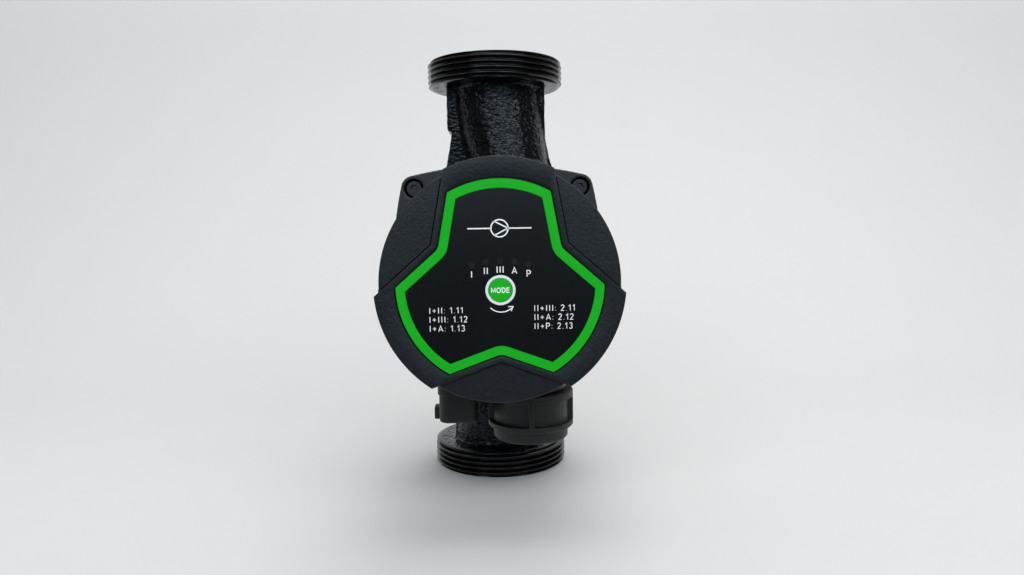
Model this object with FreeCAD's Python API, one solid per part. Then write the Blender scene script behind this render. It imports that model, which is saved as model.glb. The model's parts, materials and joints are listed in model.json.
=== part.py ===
import FreeCAD, Part
import math
import os

# Inline wet-rotor circulator pump with an electronic control head.
# Frame: origin at the centre of the lower port's gasket face, +Z up along the pipe axis,
# front of the control head towards -Y, +X to the right of a person facing the head.

# ---- driving dimensions (mm) -------------------------------------------------------------
PORT_LENGTH = 180.0          # face to face, the standard installation length
AXIS_Z = PORT_LENGTH / 2     # height of the motor axis, which runs along Y
BORE_R = 16.0                # DN32 flow passage
THREAD_R = 29.807            # G 2 male thread, major radius
THREAD_ROOT_R = 28.328       # G 2 male thread, minor radius
THREAD_PITCH = 2.309         # eleven threads per inch
THREAD_CRESTS = 4
FIRST_CREST = 2.75           # from the port face to the middle of the first crest
CREST_HALF = 0.3
RIM_LENGTH = 11.2            # threaded rim, face to shoulder
NECK_R = 20.4
SECTIONS = 8                 # steps along each curved passage

FLANGE_Y = -28.0             # joint between the hydraulic housing and the motor
FLANGE_THICK = 9.0
FLANGE_HALF = 42.8           # half width of the bulged square at the middle of a side
FLANGE_BULGE_R = 150.0
FLANGE_CORNER_R = 5.0
BOLT_HALF = 33.6             # motor bolts sit at the corners of a square
BOLT_R = 2.0                 # M4
BOLT_HEAD_R = 3.4
BOLT_HEAD_LENGTH = 4.0
COUNTERBORE_R = 3.9
COUNTERBORE_DEPTH = 5.0

CHAMBER_R = 34.0             # impeller chamber
CHAMBER_BACK = -5.0
PLATE_R = 36.0
EYE_R = 13.0
IMPELLER_R = 28.0
IMPELLER_NECK_R = 10.5
BLADES = 7
SHAFT_R = 3.0
BEARING_R = 7.0
RUNNING_GAP = 0.05
CAN_R = 17.5                 # outside of the rotor can
CAN_WALL = 0.7
CAN_END = -67.0
MAGNET_R = 15.2
STATOR_R = 33.0
STATOR_TEETH = 9
MOTOR_SHELL_R = 36.5
FIN_R = 38.2
FINS = 36
MOTOR_END = -68.0

HEAD_R = 39.4                # round control head
LOBE_R = 41.0                # the three lobes stand proud of it
HEAD_BACK = -58.0
HEAD_SPLIT = -92.0           # joint between control housing and front cover
HEAD_SECTOR_FRONT = -100.2   # front of the sectors between the lobes
HEAD_FRONT = -101.4          # front of the lobes
HEAD_WALL = 2.0
LOBE_ANGLES = (90.0, 210.5, 329.5)
VALLEY_ANGLES = (150.0, 270.0, 390.0)
LOBE_HALF_ANGLE = 25.6
VALLEY_R = 25.6
BAND_R = 33.8                # outer edge of the coloured outline band
BAND_HALF_ANGLE = 29.3
BAND_VALLEY_R = 23.0
BAND_WIDTH = 3.1
PANEL_MARGIN = 0.35
PANEL_FRONT = HEAD_FRONT - 0.1
PANEL_THICK = 0.8
COVER_INSIDE = -98.9         # inner face of the cover's front wall

BUTTON_Z = AXIS_Z - 2.0
BUTTON_R = 3.87
BEZEL_R = 4.88
LENS_R = 1.0
LENS_SPACING = 4.6
LENS_ARC_R = 30.0
LENS_TOP_Z = AXIS_Z + 7.55

BOARD_Y = -80.0              # front face of the power board
BOARD_THICK = 1.6
DISPLAY_Y = -94.0            # front face of the display board

INLET_X = 11.45              # power inlet, a vertical plug-in connector below the head
INLET_Y = -57.0
SHROUD_R = 12.6
SHROUD_WALL = 1.8
SHROUD_BOTTOM = 29.2
POD_BOTTOM = 46.0
COLLAR_R = 14.3
COLLAR_RIM_R = 16.4
COLLAR_BOTTOM = 27.0
COLLAR_RIM_Z = 31.6          # underside of the lower rim
COLLAR_TOP_RIM_Z = 42.8
COLLAR_TOP = 45.7
COLLAR_RIBS = 4
COLLAR_RIB_START = -2.0      # degrees from +X to the first rib
COLLAR_RIB_HALF = 0.95
SIGNAL_X = -16.1             # small socket with a clip-on cover, left of the inlet
SIGNAL_Y = -57.0
SIGNAL_HALF = 7.4            # half width of the cover
SIGNAL_BOTTOM = 34.6


# ---- helpers -----------------------------------------------------------------------------
def vec(x, y, z):
    return FreeCAD.Vector(x, y, z)


def save(name, shapes):
    """Write one sub-part; several shapes are separate solids of the same node."""
    solids = []
    for shape in shapes:
        solids.extend(shape.Solids)
    whole = solids[0] if len(solids) == 1 else Part.makeCompound(solids)
    whole.exportStep(os.path.join("parts", name + ".step"))


def box(x0, x1, y0, y1, z0, z1):
    return Part.makeBox(x1 - x0, y1 - y0, z1 - z0, vec(x0, y0, z0))


def rod_y(radius, y0, y1, x=0.0, z=AXIS_Z):
    return Part.makeCylinder(radius, y1 - y0, vec(x, y0, z), vec(0, 1, 0))


def ring_y(outer, inner, y0, y1, x=0.0, z=AXIS_Z):
    return rod_y(outer, y0, y1, x, z).cut(rod_y(inner, y0 - 1, y1 + 1, x, z))


def rod_z(radius, z0, z1, x=0.0, y=0.0):
    return Part.makeCylinder(radius, z1 - z0, vec(x, y, z0), vec(0, 0, 1))


def turned_y(profile, x=0.0, z=AXIS_Z):
    """Solid of revolution about an axis along Y; the profile lists (y, radius)."""
    points = [vec(x + r, y, z) for y, r in profile]
    face = Part.Face(Part.makePolygon(points + [points[0]]))
    return face.revolve(vec(x, 0, z), vec(0, 1, 0), 360)


def turned_z(profile, x=0.0, y=0.0):
    """Solid of revolution about an axis along Z; the profile lists (z, radius)."""
    points = [vec(x + r, y, z) for z, r in profile]
    face = Part.Face(Part.makePolygon(points + [points[0]]))
    return face.revolve(vec(x, y, 0), vec(0, 0, 1), 360)


def prism_y(edges, y0, y1):
    """Extrude a closed outline, drawn in the plane y = 0, from y0 to y1."""
    face = Part.Face(Part.Wire(edges))
    face.translate(vec(0, y0, 0))
    return face.extrude(vec(0, y1 - y0, 0))


def turn_about_motor(shape, degrees):
    turned = shape.copy()
    turned.rotate(vec(0, 0, AXIS_Z), vec(0, 1, 0), degrees)
    return turned


def polar(radius, degrees):
    """Point in the plane y = 0, at an angle about the motor axis, 90 degrees being up."""
    angle = math.radians(degrees)
    return vec(radius * math.cos(angle), 0, AXIS_Z + radius * math.sin(angle))


def arc(start, middle, end):
    return Part.Arc(start, middle, end).toShape()


def line(start, end):
    return Part.LineSegment(start, end).toShape()


def corner_arc(corner, before, after, radius):
    """Tangent points and middle of the arc that rounds a corner between two lines."""
    u = (before - corner).normalize()
    w = (after - corner).normalize()
    half = u.getAngle(w) / 2
    start = corner + u * (radius / math.tan(half))
    end = corner + w * (radius / math.tan(half))
    middle = corner + (u + w).normalize() * (radius / math.sin(half) - radius)
    return start, middle, end


def three_lobes(rim_r, half_angle, valley_r, valley_round):
    """Outline with three arcs on a circle, joined by straight sides to rounded valleys."""
    edges = []
    for i, lobe in enumerate(LOBE_ANGLES):
        following = LOBE_ANGLES[(i + 1) % 3]
        arc_start = polar(rim_r, lobe - half_angle)
        arc_end = polar(rim_r, lobe + half_angle)
        next_start = polar(rim_r, following - half_angle)
        valley = polar(valley_r, VALLEY_ANGLES[i])
        start, middle, end = corner_arc(valley, arc_end, next_start, valley_round)
        edges.append(arc(arc_start, polar(rim_r, lobe), arc_end))
        edges.append(line(arc_end, start))
        edges.append(arc(start, middle, end))
        edges.append(line(end, next_start))
    return edges


def inset_lobes(width):
    """The band's outline moved inwards by a constant width."""
    rim = polar(BAND_R, 90 + BAND_HALF_ANGLE)
    valley = polar(BAND_VALLEY_R, 150)
    centre = polar(0, 0)
    side = (rim - valley).normalize()
    outward = (valley - centre).normalize()
    valley_r = BAND_VALLEY_R - width / math.sin(side.getAngle(outward))
    start = polar(valley_r, 150) - centre
    along = start.dot(side)
    rim_r = BAND_R - width
    reach = -along + math.sqrt(along * along - start.dot(start) + rim_r * rim_r)
    point = start + side * reach
    half_angle = math.degrees(math.atan2(point.z, point.x)) - 90
    return three_lobes(rim_r, half_angle, valley_r, 4.0 + width)


# ---- hydraulics --------------------------------------------------------------------------
def threaded_rim():
    """Rim of one port, drawn for the lower port, with ring crests at the thread's pitch."""
    profile = [(0, 0), (0, THREAD_ROOT_R - 0.2), (0.2, THREAD_ROOT_R)]
    for i in range(THREAD_CRESTS):
        crest = FIRST_CREST + i * THREAD_PITCH
        flank = THREAD_PITCH / 2 - 0.22
        profile.append((crest - flank, THREAD_ROOT_R))
        profile.append((crest - CREST_HALF, THREAD_R))
        profile.append((crest + CREST_HALF, THREAD_R))
        profile.append((crest + flank, THREAD_ROOT_R))
    profile.append((RIM_LENGTH - 0.3, THREAD_ROOT_R))
    profile.append((RIM_LENGTH, THREAD_ROOT_R - 0.3))
    profile.append((RIM_LENGTH, 0))
    return turned_z(profile)


def flange(y0, y1):
    """Square slab with gently bulged sides and rounded corners, about the motor axis."""
    centre_z = FLANGE_HALF - FLANGE_BULGE_R
    corner = (centre_z + math.sqrt(2 * FLANGE_BULGE_R ** 2 - centre_z ** 2)) / 2
    edges = []
    for quarter in range(4):
        turn = FreeCAD.Rotation(vec(0, 1, 0), 90 * quarter)
        side = (vec(-corner, 0, corner), vec(0, 0, FLANGE_HALF), vec(corner, 0, corner))
        a, b, c = [turn.multVec(p) + vec(0, 0, AXIS_Z) for p in side]
        edges.append(arc(a, b, c))
    slab = prism_y(edges, y0, y1)
    return slab.makeFillet(FLANGE_CORNER_R, [e for e in slab.Edges if abs(e.Length - (y1 - y0)) < 0.01])


def bolt_places():
    return [(x, AXIS_Z + z) for x in (-BOLT_HALF, BOLT_HALF) for z in (-BOLT_HALF, BOLT_HALF)]


def circle_at(radius, x, y, z):
    return Part.Wire(Part.makeCircle(radius, vec(x, y, z), vec(0, 0, 1)))


def ellipse_at(rx, ry, x, y, z):
    """Horizontal ellipse whose seam lies on +X, like the circles'."""
    curve = Part.Ellipse(vec(x, y, z), rx, ry)
    return Part.Wire(curve.toShape())


def loft(wires):
    return Part.makeLoft(wires, True, True)


def blended(start, end, share):
    """Value between start and end that leaves and arrives with no slope."""
    ease = share * share * (3 - 2 * share)
    return start + (end - start) * ease


def suction_passage(wall):
    """Lower port to the impeller eye: round at the port, flat and set back behind the volute."""
    round_r = NECK_R if wall else BORE_R
    extra = 4.5 if wall else 0.0
    bottom = 5.0 if wall else -1.0
    sections = [circle_at(round_r, 0, 0, 26.0)]
    for step in range(1, SECTIONS + 1):
        share = step / SECTIONS
        rx = blended(round_r, 17.0 + extra, share)
        ry = blended(round_r, 9.5 + extra, share)
        sections.append(ellipse_at(rx, ry, 0, blended(0, 11.0, share), 26.0 + 36.0 * share))
    for z, shrink, back in ((94.0, 0.0, 11.0), (100.0, 1.2, 10.4), (104.0, 3.2, 9.6), (107.0, 6.0, 8.8)):
        rx = 17.0 + extra - shrink
        ry = 9.5 + extra - shrink
        sections.append(ellipse_at(rx, ry, 0, back, z + extra))
    return loft(sections).fuse(rod_z(round_r, bottom, 26.0))


def discharge_passage(wall):
    """Volute to the upper port: leaves the volute right of centre and leans back to the pipe axis."""
    start_r, end_r = (15.6, 19.6) if wall else (11.6, BORE_R)
    end_x = 1.0 if wall else 0.0
    top = PORT_LENGTH - 5.0 if wall else PORT_LENGTH + 1.0
    sections = []
    for step in range(SECTIONS + 1):
        share = step / SECTIONS
        x = blended(8.5, end_x, share)
        y = blended(-12.2, 0.0, share)
        sections.append(circle_at(blended(start_r, end_r, share), x, y, 110.0 + 58.0 * share))
    return loft(sections).fuse(rod_z(end_r, 168.0, top, end_x))


def side_webs():
    """Cast webs and wrench pads on both sides of the necks."""
    left = [(-21.4, 170), (-21.4, 150.0), (-19.2, 149.6), (-22.0, 134.5), (-30, 118), (-8, 112), (-8, 170)]
    right = [(8, 170), (8, 112), (30, 120), (23.6, 137), (22.0, 146), (21.8, 150), (21.8, 170)]
    webs = []
    for outline in (left, right):
        points = [vec(x, 0, z) for x, z in outline]
        edges = Part.makePolygon(points + [points[0]]).Edges
        webs.append(prism_y(edges, -8.0, 9.0))
    webs.append(box(-20.6, 20.6, -5.5, 5.5, 8.0, 50.0))
    return webs


def volute_body():
    """Scroll around the impeller: two turned shells, the second off centre towards the outlet."""
    shells = []
    for x, z, radius in ((0.0, AXIS_Z, 38.4), (2.4, AXIS_Z + 2.0, 38.8)):
        profile = [(7.0, 0.0), (7.0, radius - 13.0)]
        for step in range(7):
            angle = math.radians(90 - 15 * step)
            r = radius - 10.0 + 10.0 * math.cos(angle)
            profile.append((-3.0 + 9.0 * math.sin(angle), r))
        profile.append((-22.0, radius))
        profile.append((-22.0, 0.0))
        shells.append(turned_y(profile, x, z))
    return shells


def pump_housing():
    lower = threaded_rim()
    upper = threaded_rim()
    upper = upper.mirror(vec(0, 0, AXIS_Z), vec(0, 0, 1))
    solid = flange(FLANGE_Y, FLANGE_Y + FLANGE_THICK)
    for x, z in bolt_places():
        solid = solid.fuse(turned_y([(-16.0, 0), (-16.0, 4.2), (-20.0, 5.2), (-20.0, 0)], x, z))
    pieces = volute_body() + [suction_passage(True), discharge_passage(True)] + side_webs()
    for piece in pieces + [lower, upper]:
        solid = solid.fuse(piece)
    solid = solid.cut(box(-50, 50, FLANGE_Y - 20, FLANGE_Y, 20, PORT_LENGTH))
    solid = solid.cut(rod_y(CHAMBER_R, FLANGE_Y - 1, CHAMBER_BACK))
    solid = solid.cut(rod_y(PLATE_R, FLANGE_Y - 1, FLANGE_Y + 2.0))
    solid = solid.cut(rod_y(EYE_R, CHAMBER_BACK - 1, 8.0))
    solid = solid.cut(suction_passage(False))
    solid = solid.cut(discharge_passage(False))
    for x, z in bolt_places():
        solid = solid.cut(rod_y(BOLT_R, FLANGE_Y - 1, -19.5, x, z))
    return solid.removeSplitter()


def neck_ring():
    """Wear ring in the impeller eye, with a small flange inside the chamber."""
    wall = ring_y(EYE_R, IMPELLER_NECK_R + 0.1, CHAMBER_BACK - 1.2, 0.0)
    lip = ring_y(EYE_R + 1.6, IMPELLER_NECK_R + 0.1, CHAMBER_BACK - 1.2, CHAMBER_BACK)
    return wall.fuse(lip).removeSplitter()


def impeller():
    """Closed impeller: suction neck, two shrouds and curved blades, on a hub."""
    neck = ring_y(IMPELLER_NECK_R, 9.0, -11.0, -1.5)
    front = turned_y([
        (-11.0, 9.0), (-9.8, 9.0), (-9.8, 10.5), (-10.6, IMPELLER_R),
        (-12.2, IMPELLER_R), (-11.4, 9.0),
    ])
    back = turned_y([(-17.0, 3.0), (-17.0, IMPELLER_R), (-18.6, IMPELLER_R), (-18.6, 3.0)])
    hub = turned_y([(-23.6, 3.0), (-23.6, 5.6), (-18.0, 6.0), (-15.0, 6.0), (-13.0, 4.2), (-13.0, 3.0)])
    solid = neck.fuse(front).fuse(back).fuse(hub)
    blade_r = 17.0
    for i in range(BLADES):
        shell = ring_y(blade_r + 0.6, blade_r - 0.6, -17.4, -11.3, x=0.0, z=AXIS_Z + 18.5)
        reach = ring_y(IMPELLER_R, 6.5, -17.4, -11.3).common(box(0, 40, -18, -11, AXIS_Z - 40, AXIS_Z + 40))
        solid = solid.fuse(turn_about_motor(shell.common(reach), i * 360 / BLADES))
    return solid.removeSplitter()


def shaft():
    turned = turned_y([
        (-66.0, 0), (-66.0, SHAFT_R - 0.4), (-65.6, SHAFT_R),
        (-12.4, SHAFT_R), (-12.0, SHAFT_R - 0.4), (-12.0, 0),
    ])
    return turned


def bearing_plate():
    """Pressed stainless plate that closes the chamber and carries the front bearing."""
    return turned_y([
        (-33.0, BEARING_R), (-33.0, BEARING_R + 1.6), (-28.0, BEARING_R + 1.6), (-28.0, PLATE_R),
        (-26.2, PLATE_R), (-26.2, BEARING_R + 1.6), (-25.0, BEARING_R + 1.6), (-25.0, BEARING_R),
    ])


def bearing(y0, y1):
    bore = SHAFT_R + RUNNING_GAP
    return turned_y([
        (y0, bore), (y0, BEARING_R - 0.3), (y0 + 0.3, BEARING_R),
        (y1 - 0.3, BEARING_R), (y1, BEARING_R - 0.3), (y1, bore),
    ])


def thrust_collar():
    return ring_y(6.6, SHAFT_R, -36.4, -34.1)


def rotor_can():
    """Thin stainless can: flange, tube, closed end and the seat of the rear bearing."""
    inside = CAN_R - CAN_WALL
    shell = turned_y([
        (-28.0, inside), (-28.0, PLATE_R - 0.3), (-29.0, PLATE_R - 0.3), (-29.0, CAN_R),
        (CAN_END, CAN_R), (CAN_END, 0), (CAN_END + CAN_WALL, 0), (CAN_END + CAN_WALL, inside),
    ])
    seat = ring_y(BEARING_R + 1.0, BEARING_R, CAN_END + CAN_WALL, -60.0)
    return shell.fuse(seat).removeSplitter()


def can_gasket():
    """Flat ring squeezed between the can's flange and the motor housing."""
    return ring_y(PLATE_R - 0.3, 30.5, -30.0, -29.0)


# ---- motor -------------------------------------------------------------------------------
def rotor_core():
    return ring_y(11.8, SHAFT_R, -59.0, -39.0)


def rotor_magnet():
    return ring_y(MAGNET_R, 11.8, -59.0, -39.0)


def rotor_jacket():
    """Stainless jacket that keeps water off the magnet."""
    return turned_y([
        (-59.6, SHAFT_R), (-59.6, MAGNET_R + 0.4), (-38.4, MAGNET_R + 0.4), (-38.4, SHAFT_R),
        (-39.0, SHAFT_R), (-39.0, MAGNET_R), (-59.0, MAGNET_R), (-59.0, SHAFT_R),
    ])


def tooth(width, inner, outer, y0, y1):
    return box(-width / 2, width / 2, y0, y1, AXIS_Z + inner, AXIS_Z + outer)


def stator_core():
    """Lamination stack: yoke, teeth and pole shoes."""
    y0, y1 = -62.0, -38.0
    solid = ring_y(STATOR_R, 28.0, y0, y1)
    bore_r = CAN_R + 0.15
    shoe_ring = ring_y(bore_r + 1.8, bore_r, y0, y1)
    for i in range(STATOR_TEETH):
        shoe = shoe_ring.common(tooth(10.0, 0.0, 30.0, y0, y1))
        one = tooth(4.4, bore_r + 0.8, 29.0, y0, y1).fuse(shoe)
        solid = solid.fuse(turn_about_motor(one, i * 360 / STATOR_TEETH))
    return solid.removeSplitter()


def stator_coils():
    """One copper coil round each tooth."""
    coil = tooth(10.2, 20.6, 27.4, -65.0, -35.0).cut(tooth(5.4, 20.0, 28.0, -62.6, -37.4))
    coil = coil.makeFillet(1.2, [e for e in coil.Edges if abs(e.Length - 6.8) < 0.01 and outer_edge(e)])
    return [turn_about_motor(coil, i * 360 / STATOR_TEETH) for i in range(STATOR_TEETH)]


def outer_edge(edge):
    middle = edge.CenterOfMass
    return abs(abs(middle.x) - 5.1) < 0.01


def coil_formers():
    """Plastic insulator between each tooth and its coil."""
    former = tooth(5.4, 20.6, 27.4, -62.6, -37.4).cut(tooth(4.4, 20.0, 28.0, -62.0, -38.0))
    return [turn_about_motor(former, i * 360 / STATOR_TEETH) for i in range(STATOR_TEETH)]


def motor_housing():
    """Painted aluminium shell: bolted flange, wall behind the can, axial fins."""
    solid = flange(FLANGE_Y - FLANGE_THICK, FLANGE_Y)
    solid = solid.fuse(rod_y(MOTOR_SHELL_R, MOTOR_END, FLANGE_Y - 1))
    fin = box(-0.9, 0.9, -57.0, -36.0, AXIS_Z + 30.0, AXIS_Z + FIN_R)
    for i in range(FINS):
        solid = solid.fuse(turn_about_motor(fin, (i + 0.5) * 360 / FINS))
    solid = solid.cut(rod_y(STATOR_R, MOTOR_END - 1, -34.0))
    solid = solid.cut(rod_y(CAN_R + 0.15, MOTOR_END - 1, FLANGE_Y + 1))
    solid = solid.cut(rod_y(PLATE_R - 0.3, -30.0, FLANGE_Y + 1))
    for x, z in bolt_places():
        front = FLANGE_Y - FLANGE_THICK
        solid = solid.cut(rod_y(COUNTERBORE_R, front - 1, front + COUNTERBORE_DEPTH, x, z))
        solid = solid.cut(rod_y(BOLT_R + 0.2, front - 1, FLANGE_Y + 1, x, z))
    for x, z in control_screw_places():
        solid = solid.cut(rod_y(1.1, MOTOR_END - 1, -61.0, x, z))
    return solid.removeSplitter()


def hexagon_y(across, y0, y1, x, z):
    radius = across / math.sqrt(3)
    corners = [math.radians(60 * i) for i in range(7)]
    points = [vec(x + radius * math.cos(a), 0, z + radius * math.sin(a)) for a in corners]
    return prism_y(Part.makePolygon(points).Edges, y0, y1)


def flange_bolt(x, z):
    """M4 socket-head screw, head towards the front."""
    seat = FLANGE_Y - FLANGE_THICK + COUNTERBORE_DEPTH
    top = seat - BOLT_HEAD_LENGTH
    body = turned_y([
        (top, 0), (top, BOLT_HEAD_R - 0.4), (top + 0.4, BOLT_HEAD_R), (seat, BOLT_HEAD_R),
        (seat, BOLT_R), (-20.4, BOLT_R), (-20.0, BOLT_R - 0.4), (-20.0, 0),
    ], x, z)
    return body.cut(hexagon_y(3.0, top - 1, top + 2.0, x, z))


# ---- control head ------------------------------------------------------------------------
def control_screw_places():
    centre = polar(0, 0)
    places = []
    for degrees in (30, 150, 210, 330):
        point = polar(34.75, degrees) - centre
        places.append((point.x, AXIS_Z + point.z))
    return places


def board_post_places():
    places = []
    for degrees in (60, 120, 240, 300):
        point = polar(31.0, degrees)
        places.append((point.x, point.z))
    return places


def lead_places():
    places = []
    for degrees in (75, 90, 105):
        point = polar(24.0, degrees)
        places.append((point.x, point.z))
    return places


def lobe_skirts():
    """Thick pads of the three lobes on the side of the control housing, tapering to the back."""
    ring = turned_y([
        (HEAD_SPLIT, 38.0), (HEAD_SPLIT, LOBE_R), (-77.0, LOBE_R),
        (-71.0, HEAD_R - 0.2), (-71.0, 38.0),
    ])
    outline = three_lobes(LOBE_R + 2, LOBE_HALF_ANGLE, VALLEY_R, 1.0)
    return ring.common(prism_y(outline, HEAD_SPLIT, -70.0))


def connector_pod():
    """Block under the head that carries the two sockets."""
    left = SIGNAL_X - SIGNAL_HALF - 0.2
    block = box(left, INLET_X, -70.6, -43.4, POD_BOTTOM, 70.0)
    corner_r = 4.0
    upright = [e for e in block.Edges if abs(e.Length - 24.0) < 0.01 and e.CenterOfMass.x < left + 1]
    block = block.makeFillet(corner_r, upright)
    block = block.fuse(rod_z(13.6, POD_BOTTOM, 70.0, INLET_X, INLET_Y))
    return block.cut(rod_y(FIN_R + 0.5, -75.0, -40.0))


def control_housing():
    """Rear shell of the control head, with its partition, board posts and the connector pod."""
    solid = rod_y(HEAD_R, HEAD_SPLIT, HEAD_BACK)
    for piece in (lobe_skirts(), connector_pod()):
        solid = solid.fuse(piece)
    solid = solid.cut(rod_y(HEAD_R - HEAD_WALL, HEAD_SPLIT - 1, -71.0))
    solid = solid.cut(rod_y(FIN_R + 0.2, -69.0, HEAD_BACK + 1))
    solid = solid.cut(ring_y(38.5, HEAD_R - HEAD_WALL - 1, HEAD_SPLIT - 1, HEAD_SPLIT + 1.2))
    for x, z in board_post_places():
        solid = solid.fuse(rod_y(2.6, BOARD_Y + BOARD_THICK, -70.0, x, z))
        solid = solid.cut(rod_y(0.9, BOARD_Y, -72.0, x, z))
    for x, z in control_screw_places():
        solid = solid.cut(rod_y(1.3, -72.0, -68.0, x, z))
    for x, z in lead_places():
        solid = solid.cut(rod_y(1.4, -72.0, -68.0, x, z))
    solid = solid.fuse(rod_z(SHROUD_R, SHROUD_BOTTOM, POD_BOTTOM + 1, INLET_X, INLET_Y))
    solid = solid.cut(rod_z(SHROUD_R - SHROUD_WALL, SHROUD_BOTTOM - 1, 50.0, INLET_X, INLET_Y))
    solid = solid.fuse(signal_spigot())
    return solid.removeSplitter()


def signal_spigot():
    outer = box(SIGNAL_X - 5.0, SIGNAL_X + 5.0, SIGNAL_Y - 7.4, SIGNAL_Y + 7.4, 36.0, POD_BOTTOM + 1)
    inner = box(SIGNAL_X - 3.6, SIGNAL_X + 3.6, SIGNAL_Y - 6.0, SIGNAL_Y + 6.0, 35.0, 43.0)
    return outer.cut(inner)


def control_screw(x, z):
    body = turned_y([
        (-73.0, 0), (-73.0, 1.9), (-71.0, 2.2), (-71.0, 1.1),
        (-61.4, 1.1), (-61.0, 0.7), (-61.0, 0),
    ], x, z)
    slot = box(x - 1.4, x + 1.4, -74.0, -72.2, z - 0.25, z + 0.25)
    return body.cut(slot).cut(box(x - 0.25, x + 0.25, -74.0, -72.2, z - 1.4, z + 1.4))


def rounded_disc(radius, front, back):
    """Round slab whose front edge has a soft radius."""
    edge = 0.6
    profile = [(back, 0), (back, radius)]
    for step in range(7):
        angle = math.radians(15 * step)
        y = front + edge - edge * math.sin(angle)
        profile.append((y, radius - edge + edge * math.cos(angle)))
    profile.append((front, 0))
    return turned_y(profile)


def panel_outline():
    return three_lobes(BAND_R + PANEL_MARGIN, BAND_HALF_ANGLE, BAND_VALLEY_R + 0.4, 4.0)


def front_cover():
    """Front shell: round body, three raised lobes, recess for the panel, holes and posts."""
    solid = rounded_disc(HEAD_R, HEAD_SECTOR_FRONT, HEAD_SPLIT)
    lobes = rounded_disc(LOBE_R, HEAD_FRONT, HEAD_SPLIT)
    lobes = lobes.common(prism_y(three_lobes(LOBE_R + 2, LOBE_HALF_ANGLE, VALLEY_R, 1.0), -105.0, -90.0))
    solid = solid.fuse(lobes)
    solid = solid.cut(rod_y(HEAD_R - HEAD_WALL, COVER_INSIDE, HEAD_SPLIT + 1))
    solid = solid.cut(prism_y(panel_outline(), -104.0, PANEL_FRONT + PANEL_THICK))
    for x, z in display_post_places():
        solid = solid.fuse(rod_y(1.9, COVER_INSIDE - 0.5, DISPLAY_Y, x, z))
        solid = solid.cut(rod_y(0.8, COVER_INSIDE, DISPLAY_Y + 1, x, z))
    solid = solid.cut(rod_y(BEZEL_R, -105.0, COVER_INSIDE + 1, 0.0, BUTTON_Z))
    for x, z in lens_places():
        solid = solid.cut(rod_y(LENS_R, -105.0, COVER_INSIDE + 1, x, z))
    return solid.removeSplitter()


def cover_seal():
    return ring_y(38.5, HEAD_R - HEAD_WALL, HEAD_SPLIT, HEAD_SPLIT + 1.2)


def front_panel():
    """Smooth dark panel in the cover's recess, with a shallow groove for the band."""
    solid = prism_y(panel_outline(), PANEL_FRONT, PANEL_FRONT + PANEL_THICK)
    solid = solid.cut(band_ring(PANEL_FRONT - 1, PANEL_FRONT + 0.3))
    solid = solid.cut(rod_y(BEZEL_R, -105.0, -98.0, 0.0, BUTTON_Z))
    for x, z in lens_places():
        solid = solid.cut(rod_y(LENS_R, -105.0, -98.0, x, z))
    return solid


def band_ring(y0, y1):
    outer = prism_y(three_lobes(BAND_R, BAND_HALF_ANGLE, BAND_VALLEY_R, 4.0), y0, y1)
    return outer.cut(prism_y(inset_lobes(BAND_WIDTH), y0 - 1, y1 + 1))


def lens_places():
    places = []
    for i in range(-2, 3):
        x = i * LENS_SPACING
        places.append((x, LENS_TOP_Z - x * x / (2 * LENS_ARC_R)))
    return places


def display_post_places():
    return [(-13.0, AXIS_Z - 10.0), (13.0, AXIS_Z - 10.0), (-13.0, AXIS_Z + 13.0), (13.0, AXIS_Z + 13.0)]


def lens(x, z):
    return turned_y([
        (PANEL_FRONT, 0), (PANEL_FRONT, LENS_R), (COVER_INSIDE, LENS_R),
        (COVER_INSIDE, LENS_R + 0.7), (-96.2, LENS_R + 0.5), (-96.2, 0),
    ], x, z)


def button_bezel():
    """White ring pressed into the cover around the button."""
    return turned_y([
        (COVER_INSIDE, BUTTON_R + 0.1), (PANEL_FRONT - 0.15, BUTTON_R + 0.1),
        (PANEL_FRONT - 0.3, BUTTON_R + 0.3), (PANEL_FRONT - 0.3, BEZEL_R - 0.3),
        (PANEL_FRONT, BEZEL_R), (COVER_INSIDE, BEZEL_R),
    ], 0.0, BUTTON_Z)


def mode_button():
    """Round cap with a collar behind the wall and a stem that presses the switch."""
    face = PANEL_FRONT - 0.35
    return turned_y([
        (face, 0), (face, BUTTON_R - 0.5), (face + 0.15, BUTTON_R - 0.15), (face + 0.5, BUTTON_R),
        (COVER_INSIDE + 0.02, BUTTON_R), (COVER_INSIDE + 0.02, 5.6), (-98.1, 5.6),
        (-98.1, 1.2), (-97.3, 1.2), (-97.3, 0),
    ], 0.0, BUTTON_Z)


def button_switch():
    """Tactile switch on the display board: square can and round plunger."""
    body = box(-3.0, 3.0, -96.0, DISPLAY_Y, BUTTON_Z - 3.0, BUTTON_Z + 3.0)
    return body.fuse(rod_y(1.0, -96.6, -95.5, 0.0, BUTTON_Z)).removeSplitter()


def display_board():
    solid = box(-16.0, 16.0, DISPLAY_Y, DISPLAY_Y + 1.2, AXIS_Z - 13.0, AXIS_Z + 16.0)
    for x, z in display_post_places():
        solid = solid.cut(rod_y(0.8, -96.0, -90.0, x, z))
    return solid


def indicator_leds():
    leds = []
    for x, z in lens_places():
        leds.append(box(x - 1.0, x + 1.0, DISPLAY_Y - 1.0, DISPLAY_Y, z - 0.6, z + 0.6))
    return leds


def board_screw(x, z, seat, length, radius):
    tip = seat - length
    return turned_y([
        (seat + 1.1, 0), (seat + 1.1, radius * 1.5), (seat, radius * 2),
        (seat, radius), (tip, radius), (tip, 0),
    ], x, z)


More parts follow.
